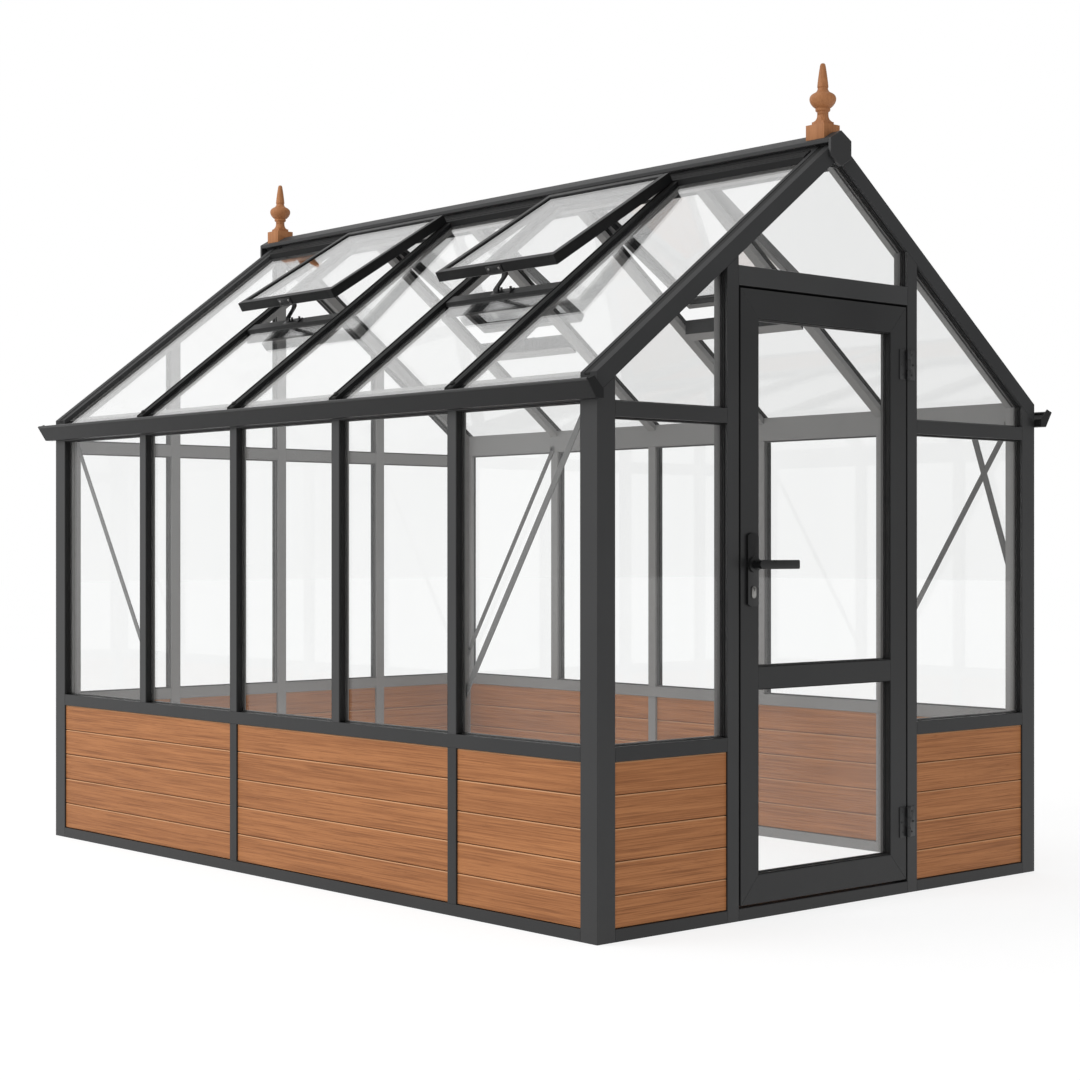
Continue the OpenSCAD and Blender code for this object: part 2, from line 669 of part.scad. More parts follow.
module lever_handle() color(black_steel) {
    neck_y = front_y - plate_t - rose_t - seat_gap;
    tip_x = lever_grip_l - lever_tip_r;
    tip_z = lever_grip_h / 2 - lever_tip_r;
    both_faces() translate([lever_x, 0, lever_z]) {
        along_y(neck_y - lever_neck_l, neck_y) circle(r = lever_neck_r);
        along_y(neck_y - lever_neck_l - lever_grip_t, neck_y - lever_neck_l) {
            circle(r = lever_grip_h / 2);
            translate([0, -lever_grip_h / 2]) square([tip_x, lever_grip_h]);
            translate([tip_x, -tip_z]) square([lever_tip_r, 2 * tip_z]);
            for (z = [-tip_z, tip_z]) translate([tip_x, z]) circle(r = lever_tip_r);
        }
    }
    along_y(neck_y, leaf_back_y + plate_t + rose_t + seat_gap)
        translate([lever_x, lever_z]) circle(r = spindle_r);
}

corner_posts();
bottom_rails();
threshold();
sill_rails();
base_posts();
side_wall_boards();
front_wall_boards();
rear_wall_boards();
mullions();
rear_gable_posts();
gable_mid_rails();
left_wall_glass();
right_wall_glass();
front_gable_glass();
rear_gable_glass();
wall_braces();
eave_beams();
gutters();
gutter_end_caps();
rafters();
rafter_seals();
roof_bars();
glazing_caps();
left_roof_glass();
right_roof_glass();
ridge_beam();
ridge_rails();
ridge_cap();
ridge_end_caps();
finials();
vent_stiles();
vent_rails();
vent_glass();
vent_cills();
vent_stays();
door_posts();
door_head();
frame_hinges();
door_stiles();
door_rails();
door_glass();
door_hinges();
handle_plates();
lock_cylinders();
lever_handle();
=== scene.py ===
"""Looks of the glazed garden house: coated frame, boarded base, seals, roof, vents, door and studio."""

import json
import logging
import math
import random
from dataclasses import dataclass
from enum import Enum
from functools import cache
from typing import Any, Sequence

import bmesh
import bpy
from mathutils import Matrix, Vector


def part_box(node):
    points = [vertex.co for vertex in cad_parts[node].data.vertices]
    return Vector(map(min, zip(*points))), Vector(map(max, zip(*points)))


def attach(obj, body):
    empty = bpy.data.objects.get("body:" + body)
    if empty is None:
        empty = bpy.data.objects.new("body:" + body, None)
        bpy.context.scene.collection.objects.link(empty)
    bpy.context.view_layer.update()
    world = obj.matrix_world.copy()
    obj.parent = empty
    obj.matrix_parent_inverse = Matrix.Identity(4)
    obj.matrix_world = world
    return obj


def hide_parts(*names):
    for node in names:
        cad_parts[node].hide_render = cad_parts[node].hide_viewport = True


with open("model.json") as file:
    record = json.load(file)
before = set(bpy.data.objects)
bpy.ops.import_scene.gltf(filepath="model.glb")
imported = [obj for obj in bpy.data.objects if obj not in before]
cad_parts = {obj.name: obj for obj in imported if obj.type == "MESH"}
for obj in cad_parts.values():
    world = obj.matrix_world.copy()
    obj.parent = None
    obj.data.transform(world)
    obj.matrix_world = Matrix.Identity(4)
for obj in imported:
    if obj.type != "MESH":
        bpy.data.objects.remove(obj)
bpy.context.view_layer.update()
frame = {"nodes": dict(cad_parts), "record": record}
LOG = logging.getLogger("garden_house")
Colour = tuple[float, float, float, float]
Pair = tuple[float, float]
Pairs = tuple[Pair, ...]
Triple = tuple[float, float, float]
Socket = bpy.types.NodeSocket
Mesh = bmesh.types.BMesh
Faces = list[bmesh.types.BMFace]
WHITE: Colour = (1.0, 1.0, 1.0, 1.0)
DARKNESS: Colour = (0.0, 0.0, 0.0, 1.0)
UP = Vector((0.0, 0.0, 1.0))
ACROSS = Vector((1.0, 0.0, 0.0))
ALONG = Vector((0.0, 1.0, 0.0))


class Slot(Enum):
    """Material slots of the record."""

    FRAME = "frame_paint"
    TIMBER = "timber"
    GLASS = "glazing"
    BLACK = "black_metal"
    STEEL = "lock_steel"
    RUBBER = "gasket"


class Body(Enum):
    """Bodies that move as one."""

    HOUSE = "house"
    DOOR = "door"
    LEVER = "lever"


class Grain(Enum):
    """Axis that the fibres of a timber piece run along."""

    ACROSS = 0
    ALONG = 1
    UPRIGHT = 2


class Side(Enum):
    """Long side of the house, as the sign of its X."""

    LEFT = -1.0
    RIGHT = 1.0


@dataclass(frozen=True)
class Slope:
    """Roof slope, the same on both sides."""

    half_w: float = 1.060
    spring_z: float = 1.650
    rise: float = 0.75943

    @property
    def pitch(self) -> float:
        """Pitch in radians."""
        return math.atan(self.rise)

    def spot(self, side: Side, x: float, y: float, n: float) -> Vector:
        """Point at x from the middle, y along the house and n over the slope, square to it."""
        height = self.spring_z + (self.half_w - x) * self.rise
        return Vector((side.value * x, y, height + n / math.cos(self.pitch)))


SLOPE = Slope()


class Signal:
    """A value socket whose arithmetic adds Math nodes to its bench."""

    def __init__(self, bench: "Bench", socket: Socket) -> None:
        """Wrap one output socket of a bench."""
        self.bench = bench
        self.socket = socket

    def math(self, operation: str, *values: "Signal | float") -> "Signal":
        """Result of a Math node with these inputs."""
        node = self.bench.node("ShaderNodeMath", {"operation": operation}, dict(enumerate(values)))
        return Signal(self.bench, node.outputs[0])

    def below(self, limit: "Signal | float", blur: float = 0.001) -> "Signal":
        """1 below a limit and 0 above it, with a short run between them."""
        return 1.0 - (self - limit).span(-blur, blur)

    def span(self, low: float, high: float) -> "Signal":
        """Stretch low to high onto 0 to 1, clamped."""
        sockets = {"Value": self, "From Min": low, "From Max": high, "To Min": 0.0, "To Max": 1.0}
        node = self.bench.node("ShaderNodeMapRange", {"clamp": True}, sockets)
        return Signal(self.bench, node.outputs[0])

    def __add__(self, other: "Signal | float") -> "Signal":
        """Sum."""
        return self.math("ADD", self, other)

    def __sub__(self, other: "Signal | float") -> "Signal":
        """Difference."""
        return self.math("SUBTRACT", self, other)

    def __rsub__(self, other: float) -> "Signal":
        """Difference from a number."""
        return self.math("SUBTRACT", other, self)

    def __mul__(self, other: "Signal | float") -> "Signal":
        """Product."""
        return self.math("MULTIPLY", self, other)

    def __pow__(self, other: float) -> "Signal":
        """Power."""
        return self.math("POWER", self, other)

    __radd__ = __add__
    __rmul__ = __mul__


class Bench:
    """Node tree of a material or of the world."""

    def __init__(self, owner: bpy.types.Material | bpy.types.World) -> None:
        """Clear the owner's tree and work in it."""
        owner.use_nodes = True
        self.tree = owner.node_tree
        self.tree.nodes.clear()

    def node(self, kind: str, settings: dict[str, Any], sockets: dict[str | int, Any]) -> bpy.types.Node:
        """Add one node.

        Args:
            kind: Type of the node.
            settings: Properties that are set before the sockets.
            sockets: Values, sockets or signals by input name, identifier or place.

        Returns:
            The new node.
        """
        made = self.tree.nodes.new(kind)
        for key, value in settings.items():
            setattr(made, key, value)
        for key, value in sockets.items():
            named = [socket for socket in made.inputs if socket.identifier == key]
            target = named[0] if named else made.inputs[key]
            if isinstance(value, Signal):
                value = value.socket
            if isinstance(value, Socket):
                self.tree.links.new(value, target)
            else:
                target.default_value = value
        return made

    def place(self, scale: tuple[float, ...] = (1.0, 1.0, 1.0), shift: Signal | None = None) -> Socket:
        """Object coordinates, stretched and shifted.

        Args:
            scale: Stretch along each axis.
            shift: Value that moves the pattern to another part of itself.

        Returns:
            The vector socket.
        """
        spot = self.node("ShaderNodeTexCoord", {}, {}).outputs["Object"]
        if shift is not None:
            sockets = {0: shift.socket, 1: (37.0, 53.0, 71.0), 2: spot}
            spot = self.node("ShaderNodeVectorMath", {"operation": "MULTIPLY_ADD"}, sockets).outputs[0]
        sockets = {"Vector": spot, "Scale": scale}
        return self.node("ShaderNodeMapping", {"vector_type": "POINT"}, sockets).outputs["Vector"]

    def reach(self) -> list[Signal]:
        """Distances from the middle of the house across and along it, and the height."""
        spot = self.node("ShaderNodeSeparateXYZ", {}, {0: self.place()}).outputs
        across, along, height = [Signal(self, socket) for socket in spot]
        return [across.math("ABSOLUTE", across), along.math("ABSOLUTE", along), height]

    def noise(self, spot: Socket, scale: float, detail: float = 2.0, warp: float = 0.0) -> Signal:
        """Noise at a spot: scale in grains to the metre, detail in octaves, warp as distortion."""
        sockets = {"Vector": spot, "Scale": scale, "Detail": detail, "Distortion": warp}
        return Signal(self, self.node("ShaderNodeTexNoise", {}, sockets).outputs[0])

    def mark(self, name: str) -> Signal:
        """Value that a mesh carries on its vertices."""
        return Signal(self, self.node("ShaderNodeAttribute", {"attribute_name": name}, {}).outputs["Fac"])

    def mix(self, factor: Signal, low: Colour | Socket, high: Colour | Socket) -> Socket:
        """Mix two colours; the factor is the share of the second."""
        settings = {"data_type": "RGBA", "blend_type": "MIX", "clamp_factor": True}
        sockets = {"Factor_Float": factor, "A_Color": low, "B_Color": high}
        return self.node("ShaderNodeMix", settings, sockets).outputs[2]

    def bump(self, height: Signal, strength: float, distance: float) -> Socket:
        """Normal of a bumpy surface; the distance is the height of a full bump in metres."""
        sockets = {"Height": height, "Strength": strength, "Distance": distance}
        return self.node("ShaderNodeBump", {}, sockets).outputs["Normal"]

    def principled(self, sockets: dict[str | int, Any]) -> Socket:
        """Surface from a Principled shader's sockets."""
        return self.node("ShaderNodeBsdfPrincipled", {}, sockets).outputs[0]

    def close(self, kind: str, shader: Socket) -> None:
        """Send a shader to the output node."""
        self.node(kind, {}, {"Surface": shader})


@dataclass(frozen=True)
class Finish:
    """A finish that is laid on pieces."""

    name: str
    slot: Slot

    @cache
    def material(self) -> bpy.types.Material:
        """Build the material, once for each finish."""
        made = bpy.data.materials.new(self.name)
        bench = Bench(made)
        bench.close("ShaderNodeOutputMaterial", self.shade(bench))
        return made

    def shade(self, bench: Bench) -> Socket:
        """Surface of the finish; each kind of finish has its own."""
        raise NotImplementedError


@dataclass(frozen=True)
class PowderCoat(Finish):
    """Baked coating with a fine orange-peel skin, dark outside the glass line and painted paler inside it, or
    on the faces that look down, as painted light.
    """

    dark: Colour = (0.0150, 0.0152, 0.0157, 1.0)
    light: Colour = (0.0215, 0.0218, 0.0224, 1.0)
    gloss: float = 0.42
    # Painted light: pale colour that stands in for the light on faces behind the glass, or on faces that look
    # down.
    inner: Colour = (0.222, 0.220, 0.216, 1.0)
    roughness: float = 0.40
    skin: float = 900.0
    skin_depth: float = 0.00012
    glass_x: float = 1.0345
    glass_y: float = 1.5495
    glass_sink: float = 0.0205
    # Paint the faces that look down pale, as painted light from the floor, instead of the faces behind the
    # glass.
    painted_light_under: bool = False
    down: float = -0.72

    def shade(self, bench: Bench) -> Socket:
        """Coated surface."""
        spot = bench.place()
        drift = bench.noise(spot, 2.3, 3.0)
        skin = bench.noise(spot, self.skin, 2.0)
        rubbed = bench.noise(bench.place((1.0, 1.0, 0.2)), 38.0, 3.0).span(0.45, 0.8)
        rough = self.roughness + (drift - 0.5) * 0.16 + (skin - 0.5) * 0.10 - rubbed * 0.04
        outer = bench.mix(drift.span(0.3, 0.7), self.dark, self.light)
        return bench.principled({
            # Painted light: the pale inner colour is mixed in where the painted light share is 1.
            "Base Color": bench.mix(self.painted_light_share(bench) * (0.88 + drift * 0.24), outer, self.inner),
            "Roughness": rough,
            "Normal": bench.bump(skin, 0.35, self.skin_depth),
            "Specular IOR Level": self.gloss,
        })

    def painted_light_share(self, bench: Bench) -> Signal:
        """Share of painted light: 1 inside the glass of the walls and the roof, or on the faces that look
        down.
        """
        if self.painted_light_under:
            normal = bench.node("ShaderNodeTexCoord", {}, {}).outputs["Normal"]
            upward = Signal(bench, bench.node("ShaderNodeSeparateXYZ", {}, {0: normal}).outputs[2])
            return upward.below(self.down, 0.05)
        across, along, height = bench.reach()
        under = SLOPE.spring_z + (SLOPE.half_w - across) * SLOPE.rise - self.glass_sink
        return across.below(self.glass_x) * along.below(self.glass_y) * height.below(under)


@dataclass(frozen=True)
class OiledTimber(Finish):
    """Oiled hardwood with figure, fibres and open pores along one axis."""

    grain: Grain
    deep: Colour = (0.320, 0.123, 0.042, 1.0)
    pale: Colour = (0.445, 0.184, 0.067, 1.0)
    line: Colour = (0.195, 0.070, 0.023, 1.0)
    pore: Colour = (0.150, 0.056, 0.020, 1.0)
    # Painted highlight: pale colour laid on each board's top chamfer, where light catches the lip.
    painted_lip_highlight: Colour = (0.720, 0.420, 0.230, 1.0)
    roughness: float = 0.52

    def shade(self, bench: Bench) -> Socket:
        """Timber surface."""
        tone = bench.mark("tone")

        def along(share: float) -> tuple[float, ...]:
            """Stretch that keeps only a share of the change along the grain."""
            return tuple(share if axis == self.grain.value else 1.0 for axis in range(3))

        figure = bench.noise(bench.place(along(0.022), tone), 62.0, 3.0, 0.6)
        streaks = bench.noise(bench.place(along(0.013), tone), 270.0, 2.0, 0.3)
        fibres = bench.noise(bench.place(along(0.012), tone), 720.0, 2.0)
        pores = bench.noise(bench.place(along(0.050), tone), 420.0, 2.0).span(0.62, 0.74)
        wash = bench.noise(bench.place(along(0.4), tone), 3.2, 2.0)
        ground = bench.mix(figure.span(0.32, 0.68), self.deep, self.pale)
        dark = bench.mix(streaks.span(0.50, 0.68) * 0.72, ground, self.line)
        lit = bench.mix(1.0 - streaks.span(0.30, 0.46), dark, self.pale)
        fibred = bench.mix(fibres.span(0.50, 0.74) * 0.42, lit, self.line)
        pored = bench.mix(pores * 0.40, fibred, self.pore)
        shade = (tone * 0.34 + wash * 0.30).span(0.02, 0.62)
        toned = bench.mix(0.20 - shade * 0.20, pored, self.line)
        return bench.principled({
            # Painted highlight: the pale lip colour is mixed in by the edge mark.
            "Base Color": bench.mix(bench.mark("edge") * 0.54, toned, self.painted_lip_highlight),
            "Roughness": self.roughness + (fibres - 0.5) * 0.18 + pores * 0.12,
            "Normal": bench.bump(fibres * 0.55 + streaks * 0.45 - pores * 0.8, 0.45, 0.0005),
            "Specular IOR Level": 0.22,
        })


@dataclass(frozen=True)
class ClearGlass(Finish):
    """Thin clear sheet: it lets light through and mirrors more at a glancing angle."""

    tint: Colour = (0.985, 0.987, 0.986, 1.0)
    mirror: float = 0.030
    haze: float = 0.016
    glance: float = 0.97

    def shade(self, bench: Bench) -> Socket:
        """Glass surface."""
        facing = Signal(bench, bench.node("ShaderNodeLayerWeight", {}, {"Blend": 0.5}).outputs["Facing"])
        film = bench.noise(bench.place((1.0, 1.0, 0.6)), 2.6, 3.0).span(0.40, 0.75)
        gloss = self.mirror + (facing ** 5.0) * self.glance + film * self.haze
        through = bench.node("ShaderNodeBsdfTransparent", {}, {"Color": self.tint}).outputs[0]
        shine = bench.node("ShaderNodeBsdfGlossy", {}, {"Color": WHITE, "Roughness": 0.015}).outputs[0]
        return bench.node("ShaderNodeMixShader", {}, {0: gloss, 1: through, 2: shine}).outputs[0]


@dataclass(frozen=True)
class BlackSatin(Finish):
    """Black satin paint with a soft mottle."""

    deep: Colour = (0.0036, 0.0036, 0.0039, 1.0)
    pale: Colour = (0.0062, 0.0062, 0.0066, 1.0)
    roughness: float = 0.30

    def shade(self, bench: Bench) -> Socket:
        """Painted surface."""
        spot = bench.place()
        mottle = bench.noise(spot, 60.0, 3.0)
        skin = bench.noise(spot, 1500.0, 2.0)
        return bench.principled({
            "Base Color": bench.mix(mottle.span(0.3, 0.7), self.deep, self.pale),
            "Roughness": self.roughness + (mottle - 0.5) * 0.14,
            "Normal": bench.bump(skin, 0.25, 0.0001),
            "Specular IOR Level": 0.40,
        })


@dataclass(frozen=True)
class SealRubber(Finish):
    """Matt black rubber with a dusty bloom."""

    clean: Colour = (0.006, 0.006, 0.006, 1.0)
    dusty: Colour = (0.011, 0.011, 0.011, 1.0)
    roughness: float = 0.62

    def shade(self, bench: Bench) -> Socket:
        """Rubber surface."""
        spot = bench.place()
        bloom = bench.noise(spot, 14.0, 4.0).span(0.35, 0.8)
        pits = bench.noise(spot, 1900.0, 2.0)
        return bench.principled({
            "Base Color": bench.mix(bloom, self.clean, self.dusty),
            "Roughness": self.roughness + bloom * 0.12 + (pits - 0.5) * 0.1,
            "Normal": bench.bump(pits, 0.3, 0.00012),
            "Specular IOR Level": 0.25,
        })


@dataclass(frozen=True)
class SatinNickel(Finish):
    """Satin nickel with brush lines."""

    dull: Colour = (0.20, 0.196, 0.19, 1.0)
    bright: Colour = (0.29, 0.285, 0.275, 1.0)
    roughness: float = 0.30

    def shade(self, bench: Bench) -> Socket:
        """Plated surface."""
        lines = bench.noise(bench.place((0.06, 1.0, 1.0)), 2600.0, 2.0)
        cloud = bench.noise(bench.place(), 90.0, 3.0)
        return bench.principled({
            "Base Color": bench.mix(cloud.span(0.3, 0.7), self.dull, self.bright),
            "Roughness": self.roughness + (lines - 0.5) * 0.22,
            "Normal": bench.bump(lines, 0.2, 0.00005),
            "Metallic": 1.0,
        })


@dataclass(frozen=True)
class PaleFloor(Finish):
    """Plain studio floor, almost white."""

    low: Colour = (0.276, 0.277, 0.278, 1.0)
    high: Colour = (0.286, 0.286, 0.286, 1.0)
    glow: float = 0.767

    def shade(self, bench: Bench) -> Socket:
        """Floor surface."""
        cloud = bench.noise(bench.place(), 0.7, 3.0)
        return bench.principled({
            "Base Color": bench.mix(cloud.span(0.3, 0.7), self.low, self.high),
            "Roughness": 0.75 + (cloud - 0.5) * 0.1,
            "Specular IOR Level": 0.0,
            "Emission Color": WHITE,
            "Emission Strength": self.glow,
        })


COAT = PowderCoat("anthracite_coat", Slot.FRAME)
# Shaded copy of the frame coat: the gutters are painted darker as painted shade.
SHADED_GUTTER_COAT = PowderCoat("shaded_gutter_coat", Slot.FRAME, (0.0075, 0.0076, 0.0079, 1.0),
                       (0.0110, 0.0111, 0.0115, 1.0), 0.18)
# Shaded copy of the frame coat: the rails, base posts and threshold are painted darker as painted shade.
SHADED_RAIL_COAT = PowderCoat("shaded_rail_coat", Slot.FRAME, (0.0122, 0.0124, 0.0128, 1.0),
                       (0.0176, 0.0179, 0.0184, 1.0), 0.36)
# Door copy: the rails' darker tones as painted shade, with its own pale inner colour as painted light.
DOOR_COAT = PowderCoat("door_anthracite_coat", Slot.FRAME, (0.0122, 0.0124, 0.0128, 1.0),
                       (0.0176, 0.0179, 0.0184, 1.0), 0.36, (0.080, 0.079, 0.078, 1.0))
# Lit copy of the frame coat: the mullions and door head are painted lighter as a painted highlight.
LIT_MULLION_COAT = PowderCoat("lit_mullion_coat", Slot.FRAME, (0.0200, 0.0203, 0.0209, 1.0),
                          (0.0280, 0.0284, 0.0291, 1.0), 0.46)
# The bead and brace copies differ only by their pale inner colour, painted light behind the glass.
BEAD_COAT = PowderCoat("bead_anthracite_coat", Slot.FRAME, inner=(0.070, 0.069, 0.068, 1.0))
BRACE_COAT = PowderCoat("brace_anthracite_coat", Slot.FRAME, inner=(0.110, 0.109, 0.107, 1.0))
RAFTER_COAT = PowderCoat("rafter_anthracite_coat", Slot.FRAME, (0.0300, 0.0304, 0.0311, 1.0),
                         (0.0390, 0.0395, 0.0404, 1.0), 0.14, roughness=0.60, glass_y=1.528)
NIGHT_COAT = PowderCoat("roof_bar_coat", Slot.FRAME, (0.0040, 0.0040, 0.0042, 1.0),
                        (0.0062, 0.0063, 0.0065, 1.0), 0.13, roughness=0.55)
# The vent copy is painted pale on its faces that look down, as painted light.
VENT_COAT = PowderCoat("vent_anthracite_coat", Slot.FRAME, (0.0060, 0.0061, 0.0063, 1.0),
                       (0.0090, 0.0091, 0.0094, 1.0), 0.16, painted_light_under=True)
# Lit copy of the frame coat: the ridge cap is painted lighter as a painted sheen.
SHEEN_RIDGE_COAT = PowderCoat("sheen_ridge_coat", Slot.FRAME, (0.0340, 0.0344, 0.0351, 1.0),
                        (0.0460, 0.0464, 0.0473, 1.0), 0.14, roughness=0.50)
BOARD_ALONG = OiledTimber("oiled_timber_along", Slot.TIMBER, Grain.ALONG)
BOARD_ACROSS = OiledTimber("oiled_timber_across", Slot.TIMBER, Grain.ACROSS)
TURNED_TIMBER = OiledTimber("oiled_timber_upright", Slot.TIMBER, Grain.UPRIGHT,
                            deep=(0.350, 0.148, 0.058, 1.0), pale=(0.415, 0.182, 0.075, 1.0),
                            line=(0.280, 0.112, 0.043, 1.0), pore=(0.235, 0.091, 0.035, 1.0))
GLASS = ClearGlass("clear_float_glass", Slot.GLASS)
ROOF_GLASS = ClearGlass("clear_roof_glass", Slot.GLASS, mirror=0.15, glance=0.80)
VENT_GLASS = ClearGlass("clear_vent_glass", Slot.GLASS, (0.955, 0.957, 0.956, 1.0), 0.15, glance=0.80)
FAR_ROOF_GLASS = ClearGlass("clear_far_roof_glass", Slot.GLASS, (0.935, 0.937, 0.936, 1.0), 0.035,
                            haze=0.010, glance=0.60)
BLACK = BlackSatin("black_satin_paint", Slot.BLACK)
RUBBER = SealRubber("black_seal_rubber", Slot.RUBBER)
NICKEL = SatinNickel("satin_nickel", Slot.STEEL)


class CadNode:
    """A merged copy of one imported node, to read its solids from."""

    def __init__(self, name: str) -> None:
        """Copy a node's mesh and join its flat faces."""
        self.bm = bmesh.new()
        self.bm.from_mesh(frame["nodes"][name].data)
        bmesh.ops.remove_doubles(self.bm, verts=self.bm.verts, dist=1e-5)
        bmesh.ops.dissolve_limit(self.bm, angle_limit=math.radians(0.4), verts=self.bm.verts,
                                 edges=self.bm.edges)

    def solids(self) -> list[Faces]:
        """Faces of each separate solid, in a steady order."""
        found, seen = [], set()
        for first in self.bm.faces:
            if first in seen:
                continue
            seen.add(first)
            solid = [first]
            for face in solid:
                for edge in face.edges:
                    fresh = [near for near in edge.link_faces if near not in seen]
                    seen.update(fresh)
                    solid.extend(fresh)
            found.append(solid)
        return found

    def boxes(self) -> list[tuple[Vector, Vector]]:
        """Lowest and highest corner of each solid."""
        made = []
        for solid in self.solids():
            spots = [vert.co for face in solid for vert in face.verts]
            low = Vector([min(spot[axis] for spot in spots) for axis in range(3)])
            high = Vector([max(spot[axis] for spot in spots) for axis in range(3)])
            made.append((low, high))
        return made

    def sided(self) -> list[tuple[Side, float, Vector, Vector]]:
        """Side of the house, middle along it and corners of each solid."""
        return [(Side.LEFT if low.x < 0.0 else Side.RIGHT, (low.y + high.y) / 2.0, low, high)
                for low, high in self.boxes()]

    def outlines(self, outward: Vector) -> list[tuple[list[Vector], Vector]]:
        """Outline of each solid's largest face on one side.

        Args:
            outward: Rough direction that the wanted faces look in.

        Returns:
            Corners and normal of one face for each solid that has one.
        """
        made = []
        for solid in self.solids():
            facing = [face for face in solid if face.normal.dot(outward) > 0.7]
            if facing:
                face = max(facing, key=lambda one: one.calc_area())
                made.append(([vert.co.copy() for vert in face.verts], face.normal.copy()))
        return made


def link(name: str, data: bpy.types.ID) -> bpy.types.Object:
    """Make an object of the scene from its data."""
    made = bpy.data.objects.new(name, data)
    bpy.context.scene.collection.objects.link(made)
    return made


class Shaper:
    """Gathers the solids of one piece."""

    def __init__(self) -> None:
        """Start with an empty mesh."""
        self.bm = bmesh.new()
        # The edge mark carries the share of painted highlight on timber.
        for mark in ("tone", "edge"):
            self.bm.verts.layers.float.new(mark)

    def take(self, part: Mesh, tone: float = 0.0) -> None:
        """Move a finished solid into the piece.

        Args:
            part: The solid, which is used up.
            tone: Shade that the timber finish reads.
        """
        bmesh.ops.recalc_face_normals(part, faces=part.faces)
        layer = part.verts.layers.float.new("tone")
        for vert in part.verts:
            vert[layer] = tone
        mesh = bpy.data.meshes.new("solid")
        part.to_mesh(mesh)
        part.free()
        self.bm.from_mesh(mesh)
        bpy.data.meshes.remove(mesh)

    @staticmethod
    def ease(part: Mesh, size: float, segments: int = 2, above: float = 25.0) -> None:
        """Bevel the sharp edges of a solid.

        Args:
            part: The solid.
            size: Width of the bevel.
            segments: Facets across it.
            above: Smallest angle in degrees that counts as sharp.
        """
        if size <= 0.0:
            return
        limit = math.radians(above)
        sharp = [edge for edge in part.edges if edge.is_manifold and edge.calc_face_angle(0.0) > limit]
        bmesh.ops.bevel(part, geom=sharp, offset=size, offset_type="OFFSET", segments=segments, profile=0.5,
                        affect="EDGES", clamp_overlap=True, material=-1)

    @staticmethod
    def push(part: Mesh, faces: Faces, along: Vector) -> Faces:
        """Extrude faces along a line and return the moved ones."""
        grown = bmesh.ops.extrude_face_region(part, geom=faces)["geom"]
        verts = [one for one in grown if isinstance(one, bmesh.types.BMVert)]
        bmesh.ops.translate(part, vec=along, verts=verts)
        return [one for one in grown if isinstance(one, bmesh.types.BMFace)]

    def block(self, low: Sequence[float], high: Sequence[float], easing: float = 0.0) -> None:
        """Add a block between two corners, with its edges eased."""
        part = bmesh.new()
        bmesh.ops.create_cube(part, size=1.0)
        bmesh.ops.scale(part, vec=Vector(high) - Vector(low), verts=part.verts)
        bmesh.ops.translate(part, vec=(Vector(low) + Vector(high)) / 2.0, verts=part.verts)
        self.ease(part, easing)
        self.take(part)

    def sweep(self, section: Sequence[Sequence[float]], steps: Sequence[Vector], easing: float = 0.0,
              tone: float = 0.0, edges: Sequence[float] = ()) -> None:
        """Add a section pushed along one or more steps.

        Args:
            section: Corners of the flat section.
            steps: Way and length of each push.
            easing: Bevel of its edges.
            tone: Shade for timber.
            edges: Share of painted highlight at each corner, for timber.
        """
        part = bmesh.new()
        layer = part.verts.layers.float.new("edge")
        corners = [part.verts.new(spot) for spot in section]
        for corner, highlight_share in zip(corners, edges):
            corner[layer] = highlight_share
        ends = [part.faces.new(corners)]
        for step in steps:
            ends = self.push(part, ends, step)
        bmesh.ops.recalc_face_normals(part, faces=part.faces)
        self.ease(part, easing)
        self.take(part, tone)

    def ring(self, outline: Sequence[Vector], width: float, along: Vector, easing: float = 0.0,
             open_foot: bool = False) -> None:
        """Add a frame that follows the inside of an outline.

        Args:
            outline: Corners of the flat outline.
            width: Width of the frame.
            along: Way and depth of the frame.
            easing: Bevel of its edges.
            open_foot: Leave out the frame's lowest side.
        """
        part = bmesh.new()
        sheet = part.faces.new([part.verts.new(spot) for spot in outline])
        sheet.normal_update()
        rim = bmesh.ops.inset_individual(part, faces=[sheet], thickness=width, use_even_offset=True)["faces"]
        gone = [sheet]
        if open_foot:
            gone.append(min(rim, key=lambda face: face.calc_center_median().z))
        rim = [face for face in rim if face not in gone]
        bmesh.ops.delete(part, geom=gone, context="FACES")
        self.push(part, rim, along)
        bmesh.ops.recalc_face_normals(part, faces=part.faces)
        self.ease(part, easing)
        self.take(part)

    def rod(self, start: Vector, end: Vector, radius: float, segments: int = 20, easing: float = 0.0) -> None:
        """Add a round bar between two points.

        Args:
            start: Centre of one end.
            end: Centre of the other.
            radius: Radius of the bar.
            segments: Facets round it.
            easing: Bevel of its ends.
        """
        part = bmesh.new()
        axis = end - start
        turn = axis.to_track_quat("Z", "Y").to_matrix().to_4x4()
        bmesh.ops.create_cone(part, cap_ends=True, cap_tris=False, segments=segments, radius1=radius,
                              radius2=radius, depth=axis.length,
                              matrix=Matrix.Translation((start + end) / 2.0) @ turn)
        self.ease(part, easing, above=60.0)
        self.take(part)

    def turned(self, profile: Sequence[Pair], foot: Vector, axis: Vector, steps: int) -> None:
        """Add a lathe-turned solid.

        Args:
            profile: Radius and height of each point, from axis to axis.
            foot: Point of height 0 on the axis.
            axis: Way that the heights run.
            steps: Facets round it.
        """
        part = bmesh.new()
        verts = [part.verts.new((radius, 0.0, height)) for radius, height in profile]
        edges = [part.edges.new(pair) for pair in zip(verts, verts[1:])]
        bmesh.ops.spin(part, geom=verts + edges, cent=(0.0, 0.0, 0.0), axis=(0.0, 0.0, 1.0),
                       dvec=(0.0, 0.0, 0.0), angle=math.tau, steps=steps, use_merge=True, use_duplicate=False)
        bmesh.ops.remove_doubles(part, verts=part.verts, dist=1e-6)
        part.transform(Matrix.Translation(foot) @ axis.to_track_quat("Z", "Y").to_matrix().to_4x4())
        self.take(part)

